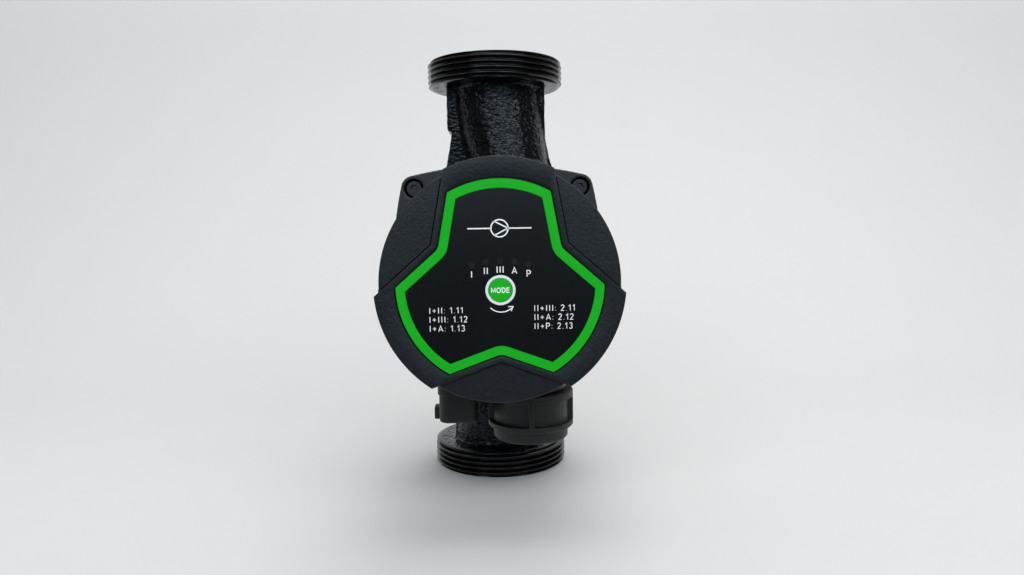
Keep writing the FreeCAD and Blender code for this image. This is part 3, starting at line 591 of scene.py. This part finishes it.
def rough_solid(name, colour, lighter, size_mm, depth_mm, roughness):
    """Plain moulded, sintered or vulcanised stuff with its own grain."""
    paint = Paint(name, colour, roughness)
    paint.bump(paint.noise(size_mm, 4.0, 0.6), depth_mm)
    paint.tint(paint.remap(paint.noise(size_mm * 8, 4.0), 0.45, 0.8, 0.0, 0.6), lighter)
    paint.gloss(paint.noise(size_mm * 3, 3.0), roughness - 0.08, roughness + 0.08)
    return paint.material


MATERIALS = {
    "cast_iron_black": cast_paint(),
    "motor_paint": motor_paint(),
    "black_oxide": metal("black_oxide", (0.07, 0.073, 0.078), 0.2, (1, 1, 1)),
    "stainless": metal("stainless", (0.6, 0.6, 0.61), 0.3, (0.2, 3, 3)),
    "lamination": banded(
        "lamination", (0.32, 0.32, 0.34), (0.06, 0.05, 0.05), 0.5, "Y", 0.4, 0.9),
    "copper_wire": banded(
        "copper_wire", (0.68, 0.27, 0.1), (0.1, 0.03, 0.012), 0.6, "Y", 0.3, 0.9),
    "magnet": rough_solid("magnet", (0.04, 0.04, 0.045), (0.07, 0.07, 0.075), 0.3, 0.02, 0.5),
    "carbon": rough_solid("carbon", (0.025, 0.025, 0.028), (0.05, 0.05, 0.055), 0.15, 0.01, 0.4),
    "engineering_plastic": rough_solid(
        "engineering_plastic", (0.12, 0.1, 0.075), (0.17, 0.14, 0.1), 0.4, 0.03, 0.5),
    "rubber": rough_solid("rubber", (0.012, 0.012, 0.012), (0.03, 0.03, 0.03), 0.25, 0.02, 0.75),
    "head_plastic": head_plastic(),
    "connector_plastic": connector_plastic(),
    "panel_gloss": panel_film(),
    "accent_green": coloured("accent_green", (0.0008, 0.42, 0.006), (0.0007, 0.38, 0.005), 0.42),
    "white_plastic": coloured("white_plastic", (0.75, 0.78, 0.8), (0.68, 0.71, 0.73), 0.4),
    "print_white": coloured("print_white", (0.86, 0.88, 0.9), (0.8, 0.82, 0.84), 0.45),
    # painted shadow: near-black colour of the strip along the foot of the lobes
    "painted_shadow_black": coloured(
        "painted_shadow_black", (0.0012, 0.0012, 0.0013), (0.0022, 0.002, 0.0018), 0.7, 0.0),
    "lens_smoke": smoked_lens(),
    "circuit_board": solder_mask(),
    "component_black": rough_solid(
        "component_black", (0.02, 0.02, 0.021), (0.035, 0.035, 0.036), 0.3, 0.015, 0.4),
    "aluminium_bare": metal("aluminium_bare", (0.78, 0.79, 0.8), 0.35, (3, 0.2, 3)),
    "brass_tin": metal("brass_tin", (0.7, 0.62, 0.42), 0.28, (1, 1, 0.3)),
}
THREAD = thread_paint()


def eased_edges(name, width):
    """Small broken edges on a CAD node that is shown as it is."""
    node = frame["nodes"][name]
    weld = node.modifiers.new("weld", "WELD")
    weld.merge_threshold = 1e-6
    bevel = node.modifiers.new("edges", "BEVEL")
    bevel.width = width * MM
    bevel.segments = 2
    bevel.limit_method = "ANGLE"
    bevel.angle_limit = math.radians(35)


def dress_cad_nodes():
    """Every CAD node gets the finished material of its slot."""
    for row in frame["record"]["subparts"]:
        node = frame["nodes"][row["node"]]
        for slot in node.material_slots:
            slot.link = "OBJECT"
            slot.material = MATERIALS[row["material_slot"]]


# ---- hydraulic housing -------------------------------------------------------------------------
CAST_VOXEL = 0.5
CAST_ROUNDS = 9
CAST_RELIEF = 0.14
JOINT_FACE_Y = -27.2          # the machined face is in front of this
CHAMBER_R = 35.0
CHAMBER_BACK_Y = -4.0
BORE_DEPTH = 24
RIM_CORE_R = 27.6             # the casting inside the separate threaded rims
RIM_SINK = 0.4
BOX_MARGIN = 0.02


def housing_casting():
    """Cast body with blended corners and a rough skin; the threaded rims are separate meshes."""
    obj = remeshed("pump_housing", "housing_casting", CAST_VOXEL)
    mesh = obj.data
    co = coordinates(mesh)
    radius = np.hypot(co[:, 0], co[:, 1])
    from_port = np.minimum(co[:, 2], PORT_TOP - co[:, 2])
    around_motor = np.hypot(co[:, 0], co[:, 2] - AXIS_Z)
    bore = (radius < BORE_R + 0.6) & (from_port < BORE_DEPTH)
    rim = from_port < RIM_LENGTH - 0.8
    joint_face = co[:, 1] < JOINT_FACE_Y
    chamber = (around_motor < CHAMBER_R) & (co[:, 1] < CHAMBER_BACK_Y)
    rough = np.where(bore | rim | joint_face | chamber, 0.0, 1.0)
    pairs = edge_array(mesh)
    co = relax(co, pairs, rough, CAST_ROUNDS, False)
    co = relax(co, pairs, np.ones(len(co)), 4, True)

    inside = from_port < RIM_LENGTH + RIM_SINK
    radius = np.hypot(co[:, 0], co[:, 1])
    too_wide = inside & (radius > RIM_CORE_R)
    shrink = np.where(too_wide, RIM_CORE_R / np.maximum(radius, 1e-6), 1.0)
    co[:, 0] *= shrink
    co[:, 1] *= shrink
    co[:, 2] = np.clip(co[:, 2], RIM_SINK, PORT_TOP - RIM_SINK)
    set_coordinates(mesh, co)

    soft = relax(np.repeat(rough[:, None], 3, axis=1), pairs, np.ones(len(co)), 6, False)[:, 0]
    relief = lattice(co / np.array([2.3, 2.3, 1.6]), 3) * 0.8
    relief += lattice(co / np.array([1.5, 1.5, 1.15]), 7) * 0.5
    relief += lattice(co / 6.0, 11) * 0.5
    co += vertex_normals(mesh) * (relief * CAST_RELIEF * soft)[:, None]
    co[:, 0] = np.clip(co[:, 0], CAD_LOW.x / MM + BOX_MARGIN, CAD_HIGH.x / MM - BOX_MARGIN)
    co[:, 1] = np.clip(co[:, 1], CAD_LOW.y / MM, CAD_HIGH.y / MM - BOX_MARGIN)
    set_coordinates(mesh, co)
    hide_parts("pump_housing")
    return stand_for(obj, "root", "cast_iron_black")


def thread_radius(height, turn):
    """Radius of the helical thread at a height above the port face and a share of a turn."""
    first_crest, flat, flank, run_out, end_lift = 0.35, 0.14, 0.72, 0.5, 0.5
    phase = (height - first_crest) / THREAD_PITCH - turn
    wave = abs(2 * (phase - math.floor(phase)) - 1)
    crest = min(max((wave - flat) / flank, 0.0), 1.0)
    crest = crest * crest * (3 - 2 * crest) * 0.5 + crest * 0.5
    rise = max(0.0, (height - 0.2) / run_out)
    fall = max(0.0, (RIM_LENGTH - THREAD_MARGIN - height) / run_out)
    fade = min(1.0, rise) * min(1.0, fall)
    depth = THREAD_R - THREAD_ROOT_R + THREAD_UNDERCUT
    return THREAD_ROOT_R - THREAD_UNDERCUT + depth * crest * fade + end_lift * (1 - fade)


def port_rim(name, upper):
    """Threaded rim of one port: gasket face, chamfers and a helix; the upper one is mirrored."""
    turns = 160
    rows = 92
    start, end = THREAD_MARGIN, RIM_LENGTH - THREAD_MARGIN
    core_r = 26.8
    face = [
        (BORE_R, 3.0), (BORE_R, 0.7), (BORE_R + 0.5, 0.1), (BORE_R + 0.8, 0.0),
        (20.0, 0.0), (28.3, 0.0), (28.7, 0.08),
    ]
    back = [(27.9, RIM_LENGTH), (27.2, RIM_LENGTH - 0.2), (core_r, 9.0), (core_r, 3.0)]
    heights = [start + (end - start) * k / rows for k in range(rows + 1)]
    verts = []
    for i in range(turns):
        share = i / turns
        angle = 2 * math.pi * share
        thread = [(thread_radius(height, share), height) for height in heights]
        for r, h in face + thread + back:
            z = PORT_TOP - h if upper else h
            verts.append((r * math.cos(angle), r * math.sin(angle), z))
    count = len(verts) // turns
    obj = tidy_normals(object_from(name, verts, turned_faces(turns, count, count)), 50.0)
    return stand_for(obj, "root", "cast_iron_black", THREAD)


# ---- control head ------------------------------------------------------------------------------
COVER_LIP = 0.2
COVER_INNER_R = 36.9
COVER_WALL = 1.6
COVER_HOLE_R = 24.0
# point spacing along the painted shadow strip at the lobes' foot
PAINTED_SHADOW_STEP = 0.6


def cover_disc():
    """Round body of the front cover with a soft front edge and a small step at its back."""
    edge = 0.45
    back = COVER_BACK + COVER_LIP
    inside = SECTOR_FRONT + COVER_WALL
    profile = [(COVER_INNER_R, back), (HEAD_R - 0.35, back), (HEAD_R, COVER_BACK - 0.25)]
    profile += arc(HEAD_R - edge, SECTOR_FRONT + edge, edge, 0, -90, 8)
    profile += [(34.0, SECTOR_FRONT), (COVER_HOLE_R, SECTOR_FRONT)]
    profile += [(COVER_HOLE_R, inside), (COVER_INNER_R, inside)]
    return lathe("cover_disc", profile, 240, AXIS_Z)


def cover_lobes():
    """The three raised lobes: rounded outer edge, flat front and the recess for the panel."""
    outline = lobe_outline()
    recess = panel_outline(0.42, 0.45)
    back = COVER_BACK + COVER_LIP
    layers = [(inset(outline, 2.2), back), (inset(outline, 0.3), back)]
    layers.append((outline, COVER_BACK - COVER_LIP))
    edge = 0.32
    for k in range(7):
        angle = math.radians(15 * k)
        depth = edge * (1 - math.sin(angle))
        layers.append((inset(outline, edge * (1 - math.cos(angle))), LOBE_FRONT + depth))
    layers.append((inset(recess, -0.25), LOBE_FRONT))
    layers.append((inset(recess, -0.08), LOBE_FRONT + 0.07))
    layers.append((recess, LOBE_FRONT + 0.25))
    layers.append((recess, PANEL_BACK))
    layers.append((inset(recess, 2.0), PANEL_BACK))
    return stacked("cover_lobes", layers)


def divided(points, step):
    """Closed outline with its long straight runs cut into short ones."""
    result = []
    for i, point in enumerate(points):
        run = points[(i + 1) % len(points)] - point
        parts = max(1, int(run.length / step))
        result += [point + run * (k / parts) for k in range(parts)]
    return result


def painted_lobe_shadow():
    """Painted shadow: a thin near-black strip on the round body along the foot of each lobe,
    standing in for the shade under the lobe's step.
    """
    outline = divided(lobe_outline(), PAINTED_SHADOW_STEP)
    inner, outer = inset(outline, 0.03), inset(outline, -PAINTED_SHADOW_WIDTH)
    sunk, proud = 0.05, -0.03
    section = ((inner, sunk), (inner, proud), (outer, proud), (outer, sunk))
    count = len(outline)
    inside = [max(inner[i].length, outer[i].length) < HEAD_R - 0.5 for i in range(count)]
    verts = []
    for i in range(count):
        verts += [(run[i].x, SECTOR_FRONT + y, AXIS_Z + run[i].y) for run, y in section]
    faces = []
    for i in range(count):
        j = (i + 1) % count
        if not inside[i]:
            continue
        if inside[j]:
            for k in range(4):
                m = (k + 1) % 4
                faces.append((4 * i + k, 4 * i + m, 4 * j + m, 4 * j + k))
        if not inside[j] or not inside[i - 1]:
            faces.append(tuple(4 * i + k for k in range(4)))
    obj = object_from("painted_lobe_shadow", verts, faces)
    bm = bmesh.new()
    bm.from_mesh(obj.data)
    bmesh.ops.delete(bm, geom=[v for v in bm.verts if not v.link_faces], context="VERTS")
    bmesh.ops.recalc_face_normals(bm, faces=bm.faces)
    bm.to_mesh(obj.data)
    bm.free()
    tidy_normals(obj, 30.0)
    # the strip takes the painted shadow black, not the plastic's own colour
    return stand_for(obj, "root", "head_plastic", MATERIALS["painted_shadow_black"])


def front_cover():
    obj = joined("front_cover_shell", [cover_disc(), cover_lobes()])
    tidy_normals(obj, 40.0)
    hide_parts("front_cover")
    return stand_for(obj, "root", "head_plastic")


def lens_places():
    """Centres of the five lenses, on a shallow arc."""
    across = [i * LENS_SPACING for i in range(-2, 3)]
    return [(x, LENS_TOP_Z - x ** 2 / (2 * LENS_ARC_R)) for x in across]


def panel():
    """Film-faced panel: softened edge, groove for the band, holes for the button and lenses."""
    outer = panel_outline(0.35, 0.4)
    band_out = panel_outline()
    band_in = inset(band_out, BAND_WIDTH)
    groove = PANEL_FRONT + 0.3
    layers = [
        (outer, PANEL_BACK), (outer, PANEL_FRONT + 0.12), (inset(outer, 0.1), PANEL_FRONT),
        (band_out, PANEL_FRONT), (band_out, groove), (band_in, groove), (band_in, PANEL_FRONT),
    ]
    skin = stacked("panel_skin", layers)
    bm = bmesh.new()
    bm.from_mesh(skin.data)
    bpy.data.objects.remove(skin)
    rings = [[(p.x, AXIS_Z + p.y) for p in band_in]]
    holes = [(0.0, BUTTON_Z, BEZEL_R, 64)] + [(x, z, LENS_R, 32) for x, z in lens_places()]
    for x, z, radius, steps in holes:
        ring = [2 * math.pi * i / steps for i in range(steps)]
        rings.append([(x + radius * math.cos(a), z + radius * math.sin(a)) for a in ring])
    edges = []
    for ring in rings:
        made = [bm.verts.new((x * MM, PANEL_FRONT * MM, z * MM)) for x, z in ring]
        for i, vert in enumerate(made):
            edges.append(bm.edges.new((vert, made[(i + 1) % len(made)])))
    bmesh.ops.triangle_fill(bm, use_beauty=True, edges=edges)
    mesh = bpy.data.meshes.new("panel_face")
    bm.to_mesh(mesh)
    bm.free()
    obj = tidy_normals(link(bpy.data.objects.new("panel_face", mesh)), 20.0)
    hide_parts("front_panel")
    return stand_for(obj, "root", "panel_gloss")


def outline_band():
    """Green band with a faintly crowned face, seated in the panel's groove."""
    outer = panel_outline(-0.06, -0.06)
    width = BAND_WIDTH - 0.12
    face, back = PANEL_FRONT - 0.05, PANEL_FRONT + 0.28
    layers = [
        (outer, back), (outer, face + 0.08), (inset(outer, 0.09), face),
        (inset(outer, 0.8), face - 0.02), (inset(outer, width - 0.8), face - 0.02),
        (inset(outer, width - 0.09), face), (inset(outer, width), face + 0.08),
        (inset(outer, width), back), (outer, back),
    ]
    obj = stacked("green_outline", layers)
    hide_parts("outline_band")
    return stand_for(obj, "root", "accent_green")


def button():
    """Green cap with a soft edge; the stem and collar behind it are part of the turning."""
    face, edge = BUTTON_FACE, 0.35
    profile = [(0.0, face), (1.8, face), (2.8, face + 0.01)]
    profile += arc(BUTTON_R - edge, face + 0.36, edge, -90, 0, 6)
    profile += [(BUTTON_R, BUTTON_BACK), (BUTTON_COLLAR_R, BUTTON_BACK)]
    profile += [(BUTTON_COLLAR_R, BUTTON_COLLAR_BACK), (BUTTON_STEM_R, BUTTON_COLLAR_BACK)]
    profile += [(BUTTON_STEM_R, BUTTON_STEM_END), (0.0, BUTTON_STEM_END)]
    obj = lathe("button_cap", profile, 96, BUTTON_Z, closed=False)
    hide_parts("mode_button")
    return stand_for(obj, "button", "accent_green")


def bezel():
    """White ring with a rounded front, a little clear of the button."""
    face = PANEL_FRONT - 0.28
    inner, inner_edge, outer_edge = BUTTON_R + 0.1, 0.15, 0.22
    profile = [(inner, BEZEL_BACK), (inner, face + inner_edge)]
    profile += arc(inner + inner_edge, face + inner_edge, inner_edge, 180, 270, 4)
    profile += arc(BEZEL_R - outer_edge, face + outer_edge, outer_edge, -90, 0, 5)
    profile += [(BEZEL_R, BEZEL_BACK)]
    obj = lathe("button_ring", profile, 96, BUTTON_Z)
    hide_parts("button_bezel")
    return stand_for(obj, "root", "white_plastic")


# ---- print on the panel --------------------------------------------------------------------------
PRINT_Y = PANEL_FRONT - 0.012
PRINT_DEPTH = 0.03
LABEL_Y = PANEL_FRONT - 0.31
STEP_HEIGHT, STEP_DROP = 2.0, 2.9
ROW_HEIGHT, ROW_PITCH, ROW_GAP, ROW_WEIGHT = 1.85, 2.93, 0.42, 0.25
LEFT_ROWS, RIGHT_ROWS = (-23.0, -8.3), (10.9, -8.05)
ARROW_R, ARROW_X, ARROW_Z = 5.07, 0.2, AXIS_Z - 4.05
SYMBOL_R, SYMBOL_RISE, SYMBOL_PIPE, SYMBOL_WEIGHT = 2.75, 17.9, 7.5, 0.42


def glyphs():
    """Plain block characters as strokes in a box one unit high, each with its width."""
    p_bowl = curve_run(0.3, 0.73, 0.26, 0.27, 80, -80)
    d_bowl = curve_run(0.26, 0.5, 0.4, 0.5, 80, -80)
    three = curve_run(0.24, 0.75, 0.23, 0.25, 150, -80)
    three += curve_run(0.24, 0.26, 0.26, 0.26, 80, -150)
    return {
        "I": (0.12, [[(0.06, 0), (0.06, 1)]]),
        "A": (0.74, [[(0, 0), (0.37, 1), (0.74, 0)], [(0.14, 0.3), (0.6, 0.3)]]),
        "P": (0.56, [[(0, 0), (0, 1), (0.3, 1)] + p_bowl + [(0.3, 0.46), (0, 0.46)]]),
        "M": (0.78, [[(0, 0), (0, 1), (0.39, 0.2), (0.78, 1), (0.78, 0)]]),
        "O": (0.78, [curve_run(0.39, 0.5, 0.39, 0.5, 0, 360, 24)]),
        "D": (0.66, [[(0, 0), (0, 1), (0.26, 1)] + d_bowl + [(0.26, 0), (0, 0)]]),
        "E": (0.52, [[(0.52, 1), (0, 1), (0, 0), (0.52, 0)], [(0, 0.52), (0.48, 0.52)]]),
        "+": (0.56, [[(0, 0.46), (0.56, 0.46)], [(0.28, 0.16), (0.28, 0.76)]]),
        ":": (0.0, [[(0, 0.04), (0, 0.1)], [(0, 0.56), (0, 0.62)]]),
        ".": (0.0, [[(0, 0.0), (0, 0.06)]]),
        " ": (0.16, []),
        "1": (0.3, [[(0, 0.74), (0.26, 1), (0.26, 0)]]),
        "2": (0.5, [curve_run(0.25, 0.74, 0.25, 0.26, 165, -30) + [(0, 0), (0.5, 0)]]),
        "3": (0.5, [three]),
    }


def printed_text(text, x, z, height, weight, y=PRINT_Y, align="left", gap=0.36):
    """Strokes of a generic label; height is the height of its characters in millimetres."""
    table = glyphs()
    length = sum(table[c][0] + gap for c in text) - gap
    pen = x - (length * height / 2 if align == "centre" else 0.0)
    strokes = []
    for character in text:
        width, lines = table[character]
        for line in lines:
            points = [(pen + u * height, z + (v - 0.5) * height) for u, v in line]
            strokes.append(ribbon("stroke", points, weight, y))
        pen += (width + gap) * height
    return strokes


def ribbon(name, points, width, y=PRINT_Y):
    """Flat printed line through points in the panel's plane, with mitred corners."""
    sharpest = 0.55
    verts, faces = [], []
    count = len(points)
    run = [Vector(point) for point in points]
    for i, point in enumerate(run):
        before = (point - run[i - 1]).normalized() if i else (run[1] - point).normalized()
        after = (run[i + 1] - point).normalized() if i < count - 1 else before
        along = (before + after).normalized()
        reach = width / 2 / max(along.dot(before), sharpest)
        side = Vector((-along.y, along.x)) * reach
        for depth in (0.0, -PRINT_DEPTH):
            verts.append((point.x + side.x, y + depth, point.y + side.y))
            verts.append((point.x - side.x, y + depth, point.y - side.y))
    for i in range(count - 1):
        a, b = 4 * i, 4 * i + 4
        faces += [(a, b, b + 1, a + 1), (a + 2, a + 3, b + 3, b + 2)]
        faces += [(a, a + 2, b + 2, b), (a + 1, b + 1, b + 3, a + 3)]
    faces += [(0, 1, 3, 2), (4 * count - 4, 4 * count - 2, 4 * count - 1, 4 * count - 3)]
    return object_from(name, verts, faces)


def legends():
    """White labels: speed steps, button turn arrow, a generic pump symbol and number tables."""
    marks = []
    for (x, z), text in zip(lens_places(), ("I", "II", "III", "A", "P")):
        marks += printed_text(text, x, z - STEP_DROP, STEP_HEIGHT, 0.32, align="centre")
    rows = (
        ("I+II: 1.11", "II+III: 2.11"),
        ("I+III: 1.12", "II+A: 2.12"),
        ("I+A: 1.13", "II+P: 2.13"),
    )
    for row, pair in enumerate(rows):
        z = AXIS_Z - ROW_PITCH * row
        for text, (x, rise) in zip(pair, (LEFT_ROWS, RIGHT_ROWS)):
            marks += printed_text(text, x, z + rise, ROW_HEIGHT, ROW_WEIGHT, gap=ROW_GAP)
    marks.append(ribbon("turn_arrow", arc(ARROW_X, ARROW_Z, ARROW_R, -134, -48, 16), 0.34))
    tip = polar(ARROW_R, -43)
    x, z = tip.x + ARROW_X, ARROW_Z + tip.y
    head = [(x - 1.5, z + 0.12), (x + 0.1, z + 0.15), (x - 0.55, z - 1.35)]
    marks.append(ribbon("turn_head", head, 0.32))
    marks += pump_symbol(0.0, AXIS_Z + SYMBOL_RISE, SYMBOL_R)
    obj = joined("panel_print", marks)
    tidy_normals(obj, 30.0)
    return stand_for(obj, "root", "white_plastic", MATERIALS["print_white"])


def pump_symbol(x, z, radius):
    """The drawing symbol of a pump: a circle with a triangle, on a line."""
    front, top, bottom = [
        (x + radius * math.cos(a), z + radius * math.sin(a)) for a in (0.0, 2.2, -2.2)]
    left, right = x - radius, x + radius
    return [
        ribbon("ring", arc(x, z, radius, 0, 360, 48), SYMBOL_WEIGHT),
        ribbon("upper_side", [top, front], 0.4),
        ribbon("lower_side", [front, bottom], 0.4),
        ribbon("inflow", [(left - SYMBOL_PIPE, z), (left, z)], SYMBOL_WEIGHT),
        ribbon("outflow", [(right, z), (right + SYMBOL_PIPE, z)], SYMBOL_WEIGHT),
    ]


def button_label():
    """MODE on the button; it moves with the button."""
    strokes = printed_text("MODE", 0.0, BUTTON_Z, 1.5, 0.3, LABEL_Y, "centre")
    obj = joined("mode_label", strokes)
    tidy_normals(obj, 30.0)
    return stand_for(obj, "button", "white_plastic", MATERIALS["print_white"])


# ---- stage ---------------------------------------------------------------------------------------
def camera():
    data = bpy.data.cameras.new("camera")
    data.sensor_width = SENSOR_MM
    data.lens = FOCAL_MM
    data.clip_start = 0.01
    obj = link(bpy.data.objects.new("camera", data))
    look = Vector((
        math.sin(CAMERA_PAN) * math.cos(CAMERA_PITCH),
        math.cos(CAMERA_PAN) * math.cos(CAMERA_PITCH),
        -math.sin(CAMERA_PITCH),
    ))
    right = Vector((math.cos(CAMERA_PAN), -math.sin(CAMERA_PAN), 0))
    up = right.cross(look)
    across = right * math.cos(CAMERA_ROLL) + up * math.sin(CAMERA_ROLL)
    upward = up * math.cos(CAMERA_ROLL) - right * math.sin(CAMERA_ROLL)
    turn = Matrix((across, upward, -look)).transposed()
    obj.matrix_world = Matrix.Translation(CAMERA_PLACE) @ turn.to_4x4()
    bpy.context.scene.camera = obj


def backdrop():
    """Pale paper: floor, wide curve and wall, with the near floor left out of reflections."""
    depth, bend, height, half, near = 0.42, 0.3, 2.4, 3.0, -0.15
    bend_steps = 16
    run = [(near, 0.0), (0.0, 0.0), (depth - bend, 0.0)]
    for i in range(1, bend_steps + 1):
        angle = math.radians(90 * i / bend_steps)
        run.append((depth - bend + bend * math.sin(angle), bend - bend * math.cos(angle)))
    run.append((depth, height))
    paint = Paint("paper", (0.78, 0.78, 0.78), 0.75)
    paint.tint(paint.remap(paint.noise(60.0, 3.0), 0.4, 0.7, 0.0, 0.25), (0.76, 0.76, 0.755))
    paint.bump(paint.noise(1.5, 3.0), 0.02)
    sheets = []
    front = [(-3.0, 0.0), (-0.6, 0.0), (near, 0.0)]
    for name, line in (("paper_sweep", run), ("paper_front", front)):
        verts = [(x / MM, y / MM, z / MM) for y, z in line for x in (-half, half)]
        faces = [(2 * i, 2 * i + 1, 2 * i + 3, 2 * i + 2) for i in range(len(line) - 1)]
        obj = object_from(name, verts, faces)
        for polygon in obj.data.polygons:
            polygon.use_smooth = True
        obj.data.materials.append(paint.material)
        sheets.append(obj)
    sheets[1].visible_glossy = False


# name, place, target, size, power in watts, colour
LIGHTS = (
    ("key", (0.1, -1.1, 0.9), (0.0, 0.0, 0.08), (2.4, 0.42), 12.6, (0.97, 0.985, 1.0)),
    ("window", (0.0, -1.5, 0.47), (0.0, 0.0, 0.11), (2.2, 0.5), 4.3, (0.72, 0.87, 1.0)),
    ("top", (0.1, 0.0, 1.15), (0.0, 0.05, 0.0), (0.9, 0.6), 5.3, (1.0, 0.98, 0.95)),
)
WORLD_LOW = (0.04, 0.04, 0.042, 1.0)
WORLD_HIGH = (0.22, 0.23, 0.24, 1.0)


def area_light(name, place, target, size, power, colour):
    data = bpy.data.lights.new(name, "AREA")
    data.shape = "RECTANGLE"
    data.size, data.size_y = size
    data.energy = power
    data.color = colour
    obj = link(bpy.data.objects.new(name, data))
    obj.location = place
    aim = Vector(target) - Vector(place)
    obj.rotation_mode = "QUATERNION"
    obj.rotation_quaternion = aim.to_track_quat("-Z", "Y")


def lights():
    """Three soft lights and a dim room that is a little brighter overhead."""
    for row in LIGHTS:
        area_light(*row)
    world = bpy.data.worlds.new("studio")
    world.use_nodes = True
    nodes, join = world.node_tree.nodes, world.node_tree.links.new
    split = nodes.new("ShaderNodeSeparateXYZ")
    height = nodes.new("ShaderNodeMapRange")
    height.interpolation_type = "SMOOTHSTEP"
    height.inputs["From Min"].default_value = -0.05
    height.inputs["From Max"].default_value = 0.6
    shade = nodes.new("ShaderNodeMix")
    shade.data_type = "RGBA"
    shade.inputs[6].default_value = WORLD_LOW
    shade.inputs[7].default_value = WORLD_HIGH
    join(nodes.new("ShaderNodeTexCoord").outputs["Generated"], split.inputs[0])
    join(split.outputs["Z"], height.inputs["Value"])
    join(height.outputs["Result"], shade.inputs[0])
    join(shade.outputs[2], nodes["Background"].inputs["Color"])
    nodes["Background"].inputs["Strength"].default_value = 1.0
    bpy.context.scene.world = world
    bpy.context.scene.view_settings.view_transform = "Standard"


def main():
    camera()
    backdrop()
    lights()
    dress_cad_nodes()
    eased_edges("flange_bolts", 0.16)
    housing_casting()
    port_rim("lower_thread", False)
    port_rim("upper_thread", True)
    stand_for(softened("motor_housing", "motor_shell", 0.45, 4), "root", "motor_paint")
    stand_for(softened("control_housing", "head_shell", 0.42, 4), "root", "head_plastic")
    front_cover()
    # painted shadow strip along the foot of the lobes
    painted_lobe_shadow()
    panel()
    outline_band()
    bezel()
    button()
    button_label()
    legends()
    collar = softened("coupling_collar", "ribbed_collar", 0.22, 6)
    eased_bore(collar, "coupling_collar", COLLAR_BORE_R, COLLAR_PLAY)
    stand_for(collar, "collar", "connector_plastic")
    stand_for(softened("signal_cover", "socket_cover", 0.25, 6), "root", "connector_plastic")


main()
